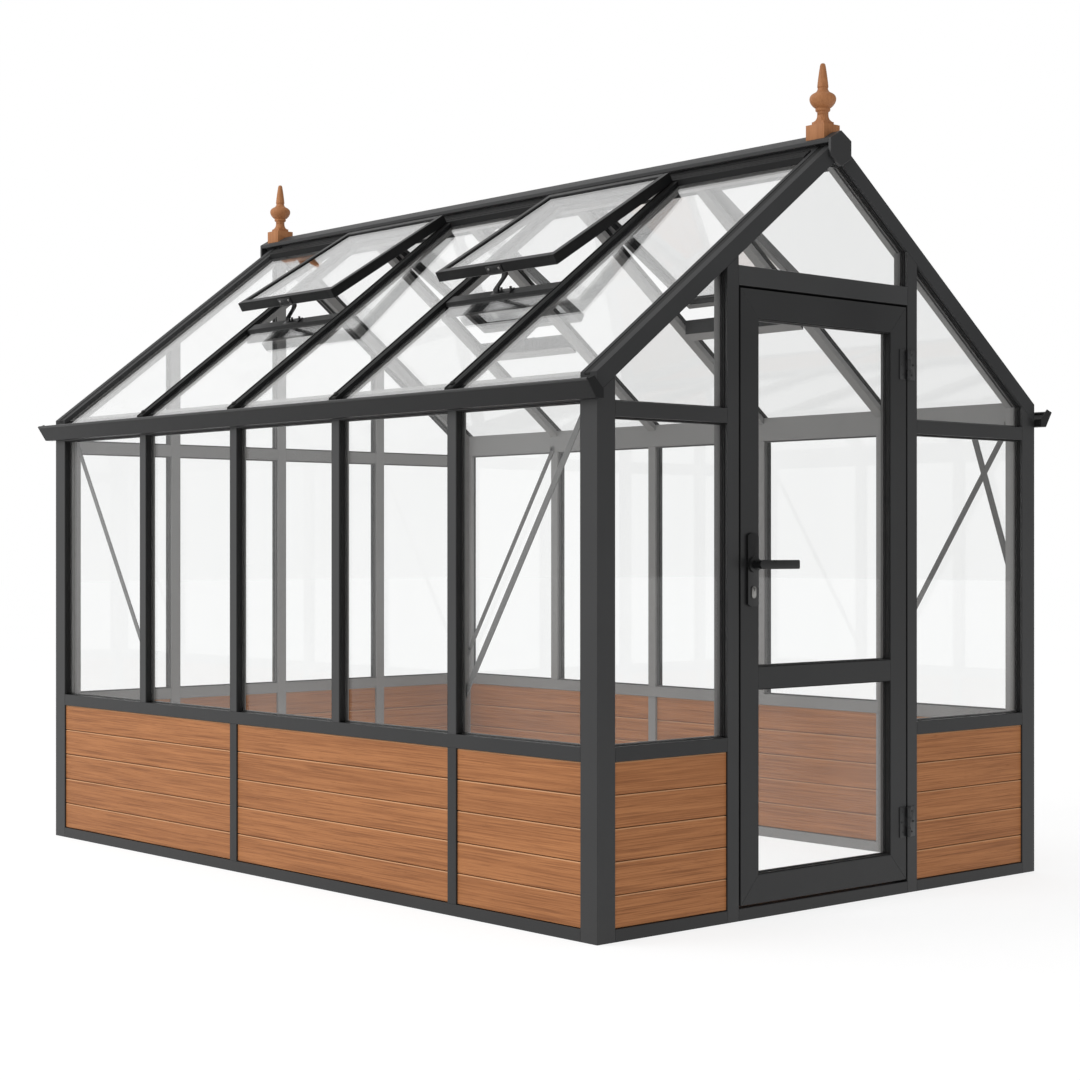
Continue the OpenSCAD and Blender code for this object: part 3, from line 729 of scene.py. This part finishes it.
    def screw(self, seat: Vector, outward: Vector, radius: float) -> None:
        """Add a domed socket screw head on a seat, facing outward."""
        shares = ((0.0, 0.30), (0.38, 0.30), (0.42, 0.62), (0.70, 0.56), (0.92, 0.34), (1.0, 0.0), (0.0, 0.0))
        self.turned([(radius * wide, radius * high) for wide, high in shares], seat, outward, 16)

    def piece(self, name: str, body: Body, finish: Finish, stands_for: Sequence[str] = (),
              sharp: float = 12.0) -> None:
        """Make the gathered solids an object of the scene.

        Args:
            name: Name of the piece.
            body: Body that it rides on.
            finish: Finish that it takes.
            stands_for: Nodes that it replaces.
            sharp: Angle in degrees above which an edge stays crisp.
        """
        mesh = bpy.data.meshes.new(name)
        for face in self.bm.faces:
            face.smooth = True
        self.bm.to_mesh(mesh)
        self.bm.free()
        mesh.set_sharp_from_angle(angle=math.radians(sharp))
        mesh.materials.append(finish.material())
        made = link(name, mesh)
        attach(made, body.value)
        if stands_for:
            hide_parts(*stands_for)
        LOG.info("%s on %s: %d faces", name, body.value, len(mesh.polygons))


def eased(node: str, finish: Finish, body: Body = Body.HOUSE, easing: float = 0.0014, segments: int = 2,
          sharp: float = 12.0, above: float = 25.0) -> None:
    """Replace a node by a copy with eased edges.

    Args:
        node: Name of the node.
        finish: Finish of the copy.
        body: Body that carries it.
        easing: Bevel of its edges.
        segments: Facets across the bevel.
        sharp: Angle in degrees above which an edge stays crisp.
        above: Smallest angle in degrees that is bevelled.
    """
    shaper, part = Shaper(), CadNode(node).bm
    shaper.ease(part, easing, segments, above)
    shaper.take(part)
    shaper.piece(f"{node}_eased", body, finish, [node], sharp)


@dataclass
class BaseWalls:
    """Rails, posts and boarding of the low walls."""

    boards: int = 5
    joint: float = 0.0032
    lip: float = 0.0028
    drip: float = 0.0010
    plank: float = 0.0115
    core: Pair = (0.0100, 0.0165)
    end_gap: float = 0.0008
    # Height of the ramp below the painted highlight on each board's lip.
    highlight_ramp: float = 0.0006

    def build(self) -> None:
        """Build the low walls."""
        for node in ("bottom_rails", "sill_rails", "base_posts", "threshold"):
            eased(node, SHADED_RAIL_COAT)
        self.boarding("side_wall_boards", BOARD_ALONG, 11)
        self.boarding("front_wall_boards", BOARD_ACROSS, 23)
        self.boarding("rear_wall_boards", BOARD_ACROSS, 31)

    def boarding(self, node: str, finish: OiledTimber, seed: int) -> None:
        """Fill each panel of a node with chamfered boards on both faces of a core.

        Args:
            node: Node of the panels.
            finish: Timber of the boards.
            seed: Start of the boards' tones.
        """
        shaper, dice = Shaper(), random.Random(seed)
        for low, high in CadNode(node).boxes():
            size, middle = high - low, (low + high) / 2.0
            if size.x < size.y:
                run, into = ALONG, ACROSS * -math.copysign(1.0, middle.x)
            else:
                run, into = ACROSS, ALONG * -math.copysign(1.0, middle.y)
            length, depth = size.dot(run) - 2.0 * self.end_gap, abs(size.dot(into))
            start = middle - run * (length / 2.0) - into * (depth / 2.0) - UP * (size.z / 2.0)
            front, back = self.core
            core = [start + into * d + UP * z for d, z in
                    ((front, 0.0), (back, 0.0), (back, size.z), (front, size.z))]
            shaper.sweep(core, [run * length])
            pitch = size.z / self.boards
            for number in range(self.boards):
                foot, head = number * pitch + self.joint / 2.0, (number + 1) * pitch - self.joint / 2.0
                edge = head - self.lip
                flat = ((0.0, foot + self.drip), (0.0, edge - self.highlight_ramp), (0.0, edge),
                        (self.lip * 0.5, head), (self.plank, head), (self.plank, foot), (self.drip, foot))
                outer, inner = dice.random(), dice.random()
                for face, way, tone in ((0.0, 1.0, outer), (depth, -1.0, inner)):
                    section = [start + into * (face + way * d) + UP * z for d, z in flat]
                    # The edge marks paint a highlight on each board's top chamfer, ramping in just below it.
                    shaper.sweep(section, [run * length], tone=tone, edges=(0.0, 0.0, 1.0, 1.0))
        shaper.piece(f"{node}_planks", Body.HOUSE, finish, [node])


@dataclass
class WallFrame:
    """Posts, mullions, rails, eaves beams and braces over the low walls."""

    flange: float = 0.020
    flange_depth: Pair = (0.0275, 0.042)
    brace_face: float = 1.014
    brace_head_z: float = 1.5674
    brace_half: float = 0.0125
    braces: tuple[tuple[Side, float, float, float], ...] = (
        (Side.LEFT, -1.503, -0.915, 0.645), (Side.LEFT, 1.503, 0.915, 0.645),
        (Side.RIGHT, -1.503, -0.915, 0.645), (Side.RIGHT, 0.915, 1.503, 0.645),
        (Side.RIGHT, -1.327, -1.503, 1.0254))
    bolt_inset: float = 0.011
    bolt_radius: float = 0.0075

    def build(self) -> None:
        """Build the wall frame."""
        for node in ("corner_posts", "rear_gable_posts", "gable_mid_rails", "eave_beams"):
            eased(node, COAT)
        eased("mullions", LIT_MULLION_COAT)
        eased("wall_braces", BRACE_COAT, easing=0.0006)
        self.flanges()
        self.bolts()

    def flanges(self) -> None:
        """Add the glazing flange that each corner post has behind the long walls' glass."""
        shaper = Shaper()
        low_z, high_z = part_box("sill_rails")[1].z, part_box("mullions")[1].z
        for low, high in CadNode("corner_posts").boxes():
            out = math.copysign(max(abs(low.x), abs(high.x)), low.x)
            near = math.copysign(min(abs(low.y), abs(high.y)), low.y)
            xs = sorted(out - math.copysign(depth, out) for depth in self.flange_depth)
            ys = sorted((near, near - math.copysign(self.flange, near)))
            shaper.block((xs[0], ys[0], low_z), (xs[1], ys[1], high_z), 0.0010)
        shaper.piece("corner_glazing_flanges", Body.HOUSE, COAT)

    def bolts(self) -> None:
        """Add the bolt at each end of the braces."""
        shaper = Shaper()
        for side, head_y, foot_y, foot_z in self.braces:
            run = abs(foot_y - head_y)
            way, lean = (foot_y - head_y) / run, (self.brace_head_z - foot_z) / run
            for out, z in ((self.brace_half, self.brace_head_z + self.brace_half),
                           (run - self.bolt_inset, foot_z + lean * (self.bolt_inset + self.brace_half))):
                seat = Vector((side.value * self.brace_face, head_y + way * out, z))
                shaper.screw(seat, ACROSS * -side.value, self.bolt_radius)
        shaper.piece("brace_bolts", Body.HOUSE, BLACK, sharp=35.0)


@dataclass
class Glazing:
    """Seals and beads of one node's glass."""

    node: str
    outward: Vector
    body: Body = Body.HOUSE
    open_foot: bool = True
    liner: float = 0.0032
    liner_depth: float = 0.0205
    bead: float = 0.0048
    bead_depth: float = 0.0040
    back_bead: float = 0.0060
    back_depth: float = 0.0060
    easing: float = 0.0009

    def build(self) -> None:
        """Build the seals and beads; the sheets stay as they are."""
        seals, beads = Shaper(), Shaper()
        for outline, normal in CadNode(self.node).outlines(self.outward):
            if self.liner_depth > 0.0:
                seals.ring(outline, self.liner, normal * self.liner_depth, open_foot=self.open_foot)
            seals.ring(outline, self.bead, normal * self.bead_depth, self.easing, self.open_foot)
        for outline, normal in CadNode(self.node).outlines(-self.outward):
            beads.ring(outline, self.back_bead, normal * self.back_depth, self.easing)
        seals.piece(f"{self.node}_seals", self.body, RUBBER)
        beads.piece(f"{self.node}_beads", self.body, BEAD_COAT)


@dataclass
class Gutters:
    """Gutters with their rolled lips, end caps and the clips that hold the panes' feet."""

    lip_out: float = 0.0605
    lip_up: float = 0.0525
    lip_radius: float = 0.0045
    lip_end: float = 0.001
    clip_radius: float = 0.0085
    clip_rise: float = 0.009
    clip_inset: float = 0.016
    clip_sink: float = 0.0006

    def build(self) -> None:
        """Build the gutters."""
        eased("gutters", SHADED_GUTTER_COAT, easing=0.0006)
        eased("gutter_end_caps", SHADED_GUTTER_COAT, easing=0.0008)
        low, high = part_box("gutters")
        shaper = Shaper()
        for side in Side:
            x, z = side.value * (SLOPE.half_w + self.lip_out), low.z + self.lip_up
            start, end = [Vector((x, y, z)) for y in (low.y + self.lip_end, high.y - self.lip_end)]
            shaper.rod(start, end, self.lip_radius, 16)
        shaper.piece("gutter_lip_rolls", Body.HOUSE, COAT, sharp=40.0)
        self.clips()

    def clips(self) -> None:
        """Add a domed clip on the foot of each glazing cap."""
        shaper = Shaper()
        dome = [(self.clip_radius * wide, self.clip_rise * high) for wide, high in
                ((0.0, 1.0), (0.40, 0.97), (0.72, 0.78), (0.94, 0.42), (1.0, 0.0), (0.0, 0.0))]
        for side, y, low, high in CadNode("glazing_caps").sided():
            seat = SLOPE.spot(side, max(abs(low.x), abs(high.x)) - self.clip_inset, y, -self.clip_sink)
            normal = Vector((side.value * math.sin(SLOPE.pitch), 0.0, math.cos(SLOPE.pitch)))
            shaper.turned(dome, seat, normal, 20)
        shaper.piece("pane_foot_clips", Body.HOUSE, BLACK, sharp=35.0)


@dataclass
class Roof:
    """Rafters, bars, caps and ridge."""

    half_w: float = 0.021
    under: float = -0.0139
    edge: float = 0.0015
    groove: float = 0.0115
    groove_floor: float = -0.0042
    draft: float = 0.0008
    strip_gap: float = 0.0003
    strip_top: float = -0.0008
    strip_edge: float = 0.0016
    strip_crown: float = 0.55
    rib_ats: tuple[float, ...] = (0.012, 0.024)
    rib: Pairs = ((-0.0022, 0.0038), (0.0022, 0.0038), (0.0012, 0.0062), (-0.0012, 0.0062))

    def build(self) -> None:
        """Build the roof frame."""
        for node, finish in (("rafters", RAFTER_COAT), ("roof_bars", NIGHT_COAT), ("ridge_beam", COAT)):
            eased(node, finish, easing=0.0010)
        eased("rafter_seals", RUBBER, easing=0.0022, segments=3)
        self.caps()
        eased("ridge_rails", NIGHT_COAT, easing=0.0012)
        eased("ridge_cap", SHEEN_RIDGE_COAT, easing=0.0022, segments=3)
        eased("ridge_end_caps", COAT, easing=0.0016)
        self.ridge_ribs()

    def caps(self) -> None:
        """Make the caps over the panes' joints: two flanges and a rubber strip in the groove between them."""
        cap, strip = Shaper(), Shaper()
        mouth, fill = self.groove + self.draft, self.groove - self.strip_gap
        shoulder, crown = self.strip_top - self.strip_edge, fill * self.strip_crown
        section = ((-self.half_w, self.under), (self.half_w, self.under), (self.half_w, -self.edge),
                   (self.half_w - self.edge, 0.0), (mouth, 0.0), (self.groove, self.groove_floor),
                   (-self.groove, self.groove_floor), (-mouth, 0.0), (self.edge - self.half_w, 0.0),
                   (-self.half_w, -self.edge))
        rubber = ((-fill, self.groove_floor), (fill, self.groove_floor), (fill, shoulder),
                  (crown, self.strip_top), (-crown, self.strip_top), (-fill, shoulder))
        for side, middle, low, high in CadNode("glazing_caps").sided():
            near, far = sorted((abs(low.x), abs(high.x)))
            along = SLOPE.spot(side, near, 0.0, 0.0) - SLOPE.spot(side, far, 0.0, 0.0)
            for shaper, flat in ((cap, section), (strip, rubber)):
                shaper.sweep([SLOPE.spot(side, far, middle + y, n) for y, n in flat], [along])
        cap.piece("glazing_caps_grooved", Body.HOUSE, NIGHT_COAT, ["glazing_caps"])
        strip.piece("glazing_cap_strips", Body.HOUSE, RUBBER)

    def ridge_ribs(self) -> None:
        """Add the thin sealing ribs that run along the ridge rails."""
        shaper = Shaper()
        low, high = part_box("ridge_rails")
        for side in Side:
            for out in self.rib_ats:
                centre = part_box("ridge_cap")[1].x + out
                section = [SLOPE.spot(side, centre + dx, low.y, n) for dx, n in self.rib]
                shaper.sweep(section, [ALONG * (high.y - low.y)])
        shaper.piece("ridge_rail_ribs", Body.HOUSE, RUBBER)


@dataclass
class Finials:
    """Turned timber finials on the ends of the ridge; the profile is in millimetres."""

    seat: float = 2.4557
    square: float = 0.0825
    easing: float = 0.0013
    tone: float = 0.55
    profile: Pairs = (
        (0.0, -1.0), (18.2, -1.0), (18.2, 8.8), (18.8, 10.2), (20.4, 11.1), (22.6, 12.3), (23.8, 14.2),
        (24.2, 16.6), (24.2, 18.8), (23.8, 20.6), (22.8, 21.6), (23.0, 22.2), (25.2, 23.3), (28.4, 25.4),
        (31.4, 28.0), (34.2, 31.0), (36.8, 34.4), (39.1, 38.2), (41.1, 42.4), (42.5, 47.0), (43.0, 51.6),
        (42.5, 56.2), (41.0, 60.2), (38.6, 63.7), (35.4, 66.7), (31.6, 69.2), (27.6, 71.2), (24.0, 73.3),
        (21.2, 75.6), (19.0, 78.4), (17.6, 81.4), (16.8, 84.8), (16.6, 88.6), (16.9, 89.0), (17.9, 89.5),
        (18.1, 91.0), (17.9, 94.0), (16.8, 105.0), (14.7, 122.0), (12.3, 140.0), (9.8, 155.0), (8.9, 160.0),
        (8.2, 163.0), (7.0, 165.4), (5.0, 167.0), (2.4, 167.7), (0.0, 167.9))

    def build(self) -> None:
        """Keep the square foot of each finial and turn the rest anew."""
        shaper = Shaper()
        source = CadNode("finials")
        middles = [(low + high) / 2.0 for low, high in source.boxes()]
        part = source.bm
        cut_z = self.seat + self.square
        cut = bmesh.ops.bisect_plane(part, geom=part.verts[:] + part.edges[:] + part.faces[:], dist=1e-6,
                                     plane_co=(0.0, 0.0, cut_z), plane_no=UP, clear_outer=True)["geom_cut"]
        bmesh.ops.holes_fill(part, edges=[one for one in cut if isinstance(one, bmesh.types.BMEdge)], sides=0)
        shaper.ease(part, self.easing, above=40.0)
        shaper.take(part, self.tone)
        profile = [(radius / 1000.0, height / 1000.0) for radius, height in self.profile]
        for middle in middles:
            shaper.turned(profile, Vector((middle.x, middle.y, cut_z)), UP, 56)
        shaper.piece("finials_turned", Body.HOUSE, TURNED_TIMBER, ["finials"], sharp=34.0)


@dataclass
class RoofVents:
    """Propped vents with their seals, cills and stays."""

    hinge_x: float = 0.085
    hinge_z: float = 2.3904
    lean: float = 31.71
    length: float = 0.625
    rail: float = 0.026
    depth: float = 0.036
    cill_x: float = 0.5908
    crank: float = -0.030
    arm: Pair = (0.0045, 0.0105)
    bracket: float = 0.044
    foot_plate: float = 0.050
    peg_radius: float = 0.0042
    peg_rise: float = 0.013
    peg_sink: float = -0.0008
    peg_ats: Pair = (-0.85, 0.1)
    plate: float = 0.004
    plate_back: float = 0.002
    tab: Triple = (0.003, 0.004, 0.030)
    screw_ats: Pair = (-0.6, 0.6)
    screw_up: float = 0.019
    screw_radius: float = 0.0048
    foot_half: float = 0.012
    foot_under: float = -0.0042
    foot_top: float = -0.0005
    stay_foot: float = -0.004
    tail: float = 0.058
    tail_in: float = 0.020
    tail_sink: float = -0.006
    bends: Pairs = ((0.16, 0.02), (0.14, 0.14), (0.40, 0.68), (0.14, 0.14), (0.16, 0.02))

    def spot(self, side: Side, a: float, y: float, b: float) -> Vector:
        """Point at a from a vent's hinge line, y along the house and b over the vent's underside."""
        lean = math.radians(self.lean)
        out = self.hinge_x + a * math.cos(lean) + b * math.sin(lean)
        return Vector((side.value * out, y, self.hinge_z - a * math.sin(lean) + b * math.cos(lean)))

    def build(self) -> None:
        """Build the vents."""
        eased("vent_stiles", VENT_COAT)
        eased("vent_rails", VENT_COAT)
        eased("vent_cills", VENT_COAT, easing=0.0010)
        Glazing("vent_glass", UP, open_foot=False, liner_depth=0.0, bead_depth=0.0030).build()
        self.arms()
        self.brackets()

    def arms(self) -> None:
        """Replace each stay by a cranked arm from under the vent's bottom rail to its cill."""
        shaper = Shaper()
        wide, deep = self.arm
        for side, y, _, _ in CadNode("vent_stays").sided():
            head = self.spot(side, self.length - self.rail / 2.0, y + self.crank, 0.0)
            foot = SLOPE.spot(side, self.cill_x, y - self.crank, self.stay_foot)
            drop = foot - head
            section = [head + Vector((dx, dy, 0.0)) for dx, dy in
                       ((-wide, -deep), (wide, -deep), (wide, deep), (-wide, deep))]
            steps = [Vector((drop.x * share, drop.y * shift, drop.z * share)) for share, shift in self.bends]
            shaper.sweep(section, steps, 0.0016)
        shaper.piece("vent_stay_arms", Body.HOUSE, BLACK, ["vent_stays"], sharp=30.0)

    def brackets(self) -> None:
        """Add the stay brackets, their pegs and their bright screws."""
        black, bright = Shaper(), Shaper()
        lean = math.radians(self.lean)
        thick, low, high = self.tab
        inner, outer = self.length - self.rail, self.length - self.plate_back
        for side, y, _, _ in CadNode("vent_stays").sided():
            plate = [self.spot(side, a, y - self.bracket, b) for a, b in
                     ((inner, 0.0), (outer, 0.0), (outer, -self.plate), (inner, -self.plate))]
            black.sweep(plate, [ALONG * 2.0 * self.bracket], 0.0008)
            out = Vector((side.value * math.cos(lean), 0.0, -math.sin(lean)))
            tab = [self.spot(side, self.length + a, y - self.bracket * 0.9, b) for a, b in
                   ((0.0, low), (thick, low), (thick, high), (0.0, high))]
            black.sweep(tab, [ALONG * 1.8 * self.bracket], 0.0006)
            for share in self.screw_ats:
                seat = self.spot(side, self.length + thick, y + self.bracket * share, self.screw_up)
                bright.screw(seat, out, self.screw_radius)
            foot = [SLOPE.spot(side, self.cill_x + dx, y - self.foot_plate, n) for dx, n in
                    ((-self.foot_half, self.foot_under), (self.foot_half, self.foot_under),
                     (self.foot_half, self.foot_top), (-self.foot_half, self.foot_top))]
            black.sweep(foot, [ALONG * 2.0 * self.foot_plate], 0.0008)
            for share in self.peg_ats:
                seat = SLOPE.spot(side, self.cill_x, y + self.foot_plate * share, self.peg_sink)
                black.rod(seat, seat + UP * self.peg_rise, self.peg_radius, 14, 0.0008)
            tail = SLOPE.spot(side, self.cill_x - self.tail_in, y, self.tail_sink)
            black.rod(tail, tail - UP * self.tail, self.peg_radius, 16, 0.0010)
        black.piece("vent_stay_brackets", Body.HOUSE, BLACK, sharp=30.0)
        bright.piece("vent_bracket_screws", Body.HOUSE, NICKEL, sharp=35.0)


@dataclass
class DoorFrame:
    """Door posts and head with their brush seals and the fixed hinge halves."""

    brush: float = 0.006
    brush_depth: float = 0.0034
    easing: float = 0.0012
    stop_y: float = -1.527
    left_x: float = -0.4555
    right_x: float = 0.3335
    head_z: float = 1.9300
    sill_z: float = 0.040
    liner: float = 0.0012
    liner_y: float = -1.571
    opening: Triple = (-0.466, 0.350, 1.947)

    def build(self) -> None:
        """Build the door frame."""
        eased("door_posts", BRACE_COAT)
        eased("door_head", LIT_MULLION_COAT)
        eased("frame_hinges", COAT, easing=0.0006, sharp=28.0)
        shaper = Shaper()
        front = self.stop_y - self.brush_depth
        for x in (self.left_x, self.right_x):
            shaper.block((x, front, self.sill_z), (x + self.brush, self.stop_y, self.head_z), self.easing)
        shaper.block((self.left_x, front, self.head_z),
                     (self.right_x + self.brush, self.stop_y, self.head_z + self.brush), self.easing)
        self.liners(shaper)
        shaper.piece("door_frame_seals", Body.HOUSE, RUBBER)
        hinge_screws("frame_hinges", Body.HOUSE)

    def liners(self, shaper: Shaper) -> None:
        """Line the posts and the head where they face the leaf."""
        left, right, top = self.opening
        near, far = left + self.liner, right - self.liner
        for low_x, high_x, low_z in ((left, near, self.sill_z), (far, right, self.sill_z),
                                     (near, far, top - self.liner)):
            shaper.block((low_x, self.liner_y, low_z), (high_x, self.stop_y, top))


def hinge_screws(node: str, body: Body) -> None:
    """Add three screws to the plate of each hinge half.

    Args:
        node: Node of the hinge halves.
        body: Body that carries them.
    """
    shaper = Shaper()
    knuckle, plate, face_y, radius = 0.346, 0.0245, -1.578, 0.0038
    heads = ((-0.034, -0.002), (0.0, 0.006), (0.034, -0.002))
    for low, high in CadNode(node).boxes():
        middle = (low + high) / 2.0
        side = math.copysign(1.0, middle.x - knuckle)
        for step, zig in heads:
            seat = Vector((knuckle + side * (plate + zig), face_y, middle.z + step))
            shaper.screw(seat, -ALONG, radius)
    shaper.piece(f"{node}_screws", body, COAT, sharp=35.0)


@dataclass
class DoorLeaf:
    """Door leaf with its glass, seals, hinges and sweep."""

    sweep_low: Triple = (-0.448, -1.5335, 0.0415)
    sweep_high: Triple = (0.332, -1.5302, 0.0640)

    def build(self) -> None:
        """Build the leaf."""
        for node in ("door_stiles", "door_rails"):
            eased(node, DOOR_COAT, Body.DOOR, 0.0011)
        eased("door_hinges", COAT, Body.DOOR, 0.0006, sharp=28.0)
        Glazing("door_glass", -ALONG, Body.DOOR, False).build()
        hinge_screws("door_hinges", Body.DOOR)
        shaper = Shaper()
        shaper.block(self.sweep_low, self.sweep_high, 0.0010)
        shaper.piece("door_sweep", Body.DOOR, RUBBER)


@dataclass
class Handle:
    """Lever handle with its plates and lock."""

    lever_x: float = -0.409
    keyway_z: float = 1.014
    slot: Pair = (0.0013, 0.0048)
    slot_sink: float = 0.0012
    slot_proud: float = 0.0001
    inner_y: float = -1.525
    screw_inset: float = 0.016
    screw_radius: float = 0.0042

    def build(self) -> None:
        """Build the handle."""
        eased("handle_plates", BLACK, Body.DOOR, 0.0016, 3, sharp=30.0, above=40.0)
        eased("lever_handle", BLACK, Body.LEVER, 0.0028, 4, sharp=40.0, above=40.0)
        eased("lock_cylinders", NICKEL, Body.DOOR, 0.0006, sharp=30.0, above=40.0)
        self.keyways()
        self.plate_screws()

    def keyways(self) -> None:
        """Add the keyway on both ends of the lock."""
        shaper = Shaper()
        low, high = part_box("lock_cylinders")
        half_w, half_h = self.slot
        for face, way in ((low.y, -1.0), (high.y, 1.0)):
            ys = sorted((face - way * self.slot_sink, face + way * self.slot_proud))
            shaper.block((self.lever_x - half_w, ys[0], self.keyway_z - half_h),
                         (self.lever_x + half_w, ys[1], self.keyway_z + half_h), 0.0002)
        shaper.piece("lock_keyways", Body.DOOR, BLACK)

    def plate_screws(self) -> None:
        """Add the two screws of the inner plate."""
        shaper = Shaper()
        low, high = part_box("handle_plates")
        for z in (low.z + self.screw_inset, high.z - self.screw_inset):
            shaper.screw(Vector((self.lever_x, self.inner_y, z)), ALONG, self.screw_radius)
        shaper.piece("handle_plate_screws", Body.DOOR, BLACK, sharp=35.0)


@dataclass
class Studio:
    """Floor, light and camera."""

    eye: Triple = (-5.2137, -5.9987, 1.1356)
    heading: float = -41.6458
    lens: float = 70.454
    rise: float = 0.0093
    floor_half: float = 60.0
    dim_way: Triple = (0.80, -0.58, -0.10)
    dim: float = 0.62
    lamp_spot: Triple = (-5.5, 2.5, 6.0)
    lamp_target: Triple = (0.0, 0.0, 0.8)
    lamp_size: float = 4.5
    lamp_power: float = 190.0

    def build(self) -> None:
        """Build the studio."""
        self.floor()
        self.surround()
        self.lamp()
        self.camera()

    def floor(self) -> None:
        """Lay the pale floor."""
        bm = bmesh.new()
        bmesh.ops.create_grid(bm, x_segments=1, y_segments=1, size=self.floor_half)
        mesh = bpy.data.meshes.new("studio_floor")
        bm.to_mesh(mesh)
        bm.free()
        mesh.materials.append(PaleFloor("pale_floor", Slot.FRAME).material())
        made = link("studio_floor", mesh)

    def surround(self) -> None:
        """Light the house from all round, dimmer to the right of the door."""
        scene = bpy.context.scene
        scene.view_settings.view_transform = "Standard"
        world = bpy.data.worlds.new("studio_surround")
        scene.world = world
        bench = Bench(world)
        way = bench.node("ShaderNodeTexCoord", {}, {}).outputs["Generated"]
        aim = Vector(self.dim_way).normalized()
        dot = bench.node("ShaderNodeVectorMath", {"operation": "DOT_PRODUCT"}, {0: way, 1: tuple(aim)})
        toward = Signal(bench, dot.outputs["Value"]).span(-0.25, 0.85)
        lit = bench.mix(toward * self.dim, WHITE, DARKNESS)
        surround, plain = [bench.node("ShaderNodeBackground", {}, {"Color": tint, "Strength": 1.0}).outputs[0]
                           for tint in (lit, WHITE)]
        seen = bench.node("ShaderNodeLightPath", {}, {}).outputs["Is Camera Ray"]
        shader = bench.node("ShaderNodeMixShader", {}, {0: seen, 1: surround, 2: plain}).outputs[0]
        bench.close("ShaderNodeOutputWorld", shader)

    def lamp(self) -> None:
        """Hang one soft lamp."""
        data = bpy.data.lights.new("key_lamp", "AREA")
        data.size, data.energy = self.lamp_size, self.lamp_power
        made = link("key_lamp", data)
        made.location = self.lamp_spot
        made.rotation_mode = "QUATERNION"
        aim = Vector(self.lamp_target) - Vector(self.lamp_spot)
        made.rotation_quaternion = aim.to_track_quat("-Z", "Y")

    def camera(self) -> None:
        """Stand the camera where the picture was taken."""
        data = bpy.data.cameras.new("studio_camera")
        data.lens, data.sensor_width, data.shift_y = self.lens, 36.0, self.rise
        made = link("studio_camera", data)
        made.location = self.eye
        made.rotation_euler = (math.radians(90.0), 0.0, math.radians(self.heading))
        bpy.context.scene.camera = made


def dress_nodes() -> None:
    """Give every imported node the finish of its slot, and the glass of each slope its own."""
    finishes = {Slot.FRAME: COAT, Slot.TIMBER: BOARD_ALONG, Slot.GLASS: GLASS, Slot.BLACK: BLACK,
                Slot.STEEL: NICKEL, Slot.RUBBER: RUBBER}
    overhead = {"left_roof_glass": ROOF_GLASS, "vent_glass": VENT_GLASS, "right_roof_glass": FAR_ROOF_GLASS}
    for part in frame["record"]["subparts"]:
        node = frame["nodes"][part["node"]]
        finish = overhead.get(part["node"], finishes[Slot(part["material_slot"])])
        if not node.material_slots:
            node.data.materials.append(finish.material())
        for place in node.material_slots:
            place.material = finish.material()


def main() -> None:
    """Build the house and the studio."""
    logging.basicConfig(level=logging.INFO, format="%(name)s %(message)s")
    dress_nodes()
    BaseWalls().build()
    WallFrame().build()
    Glazing("left_wall_glass", -ACROSS).build()
    Glazing("right_wall_glass", ACROSS).build()
    Glazing("front_gable_glass", -ALONG, liner_depth=0.0110).build()
    Glazing("rear_gable_glass", ALONG).build()
    Gutters().build()
    Roof().build()
    Finials().build()
    RoofVents().build()
    DoorFrame().build()
    DoorLeaf().build()
    Handle().build()
    Studio().build()


if __name__ == "__main__":
    main()
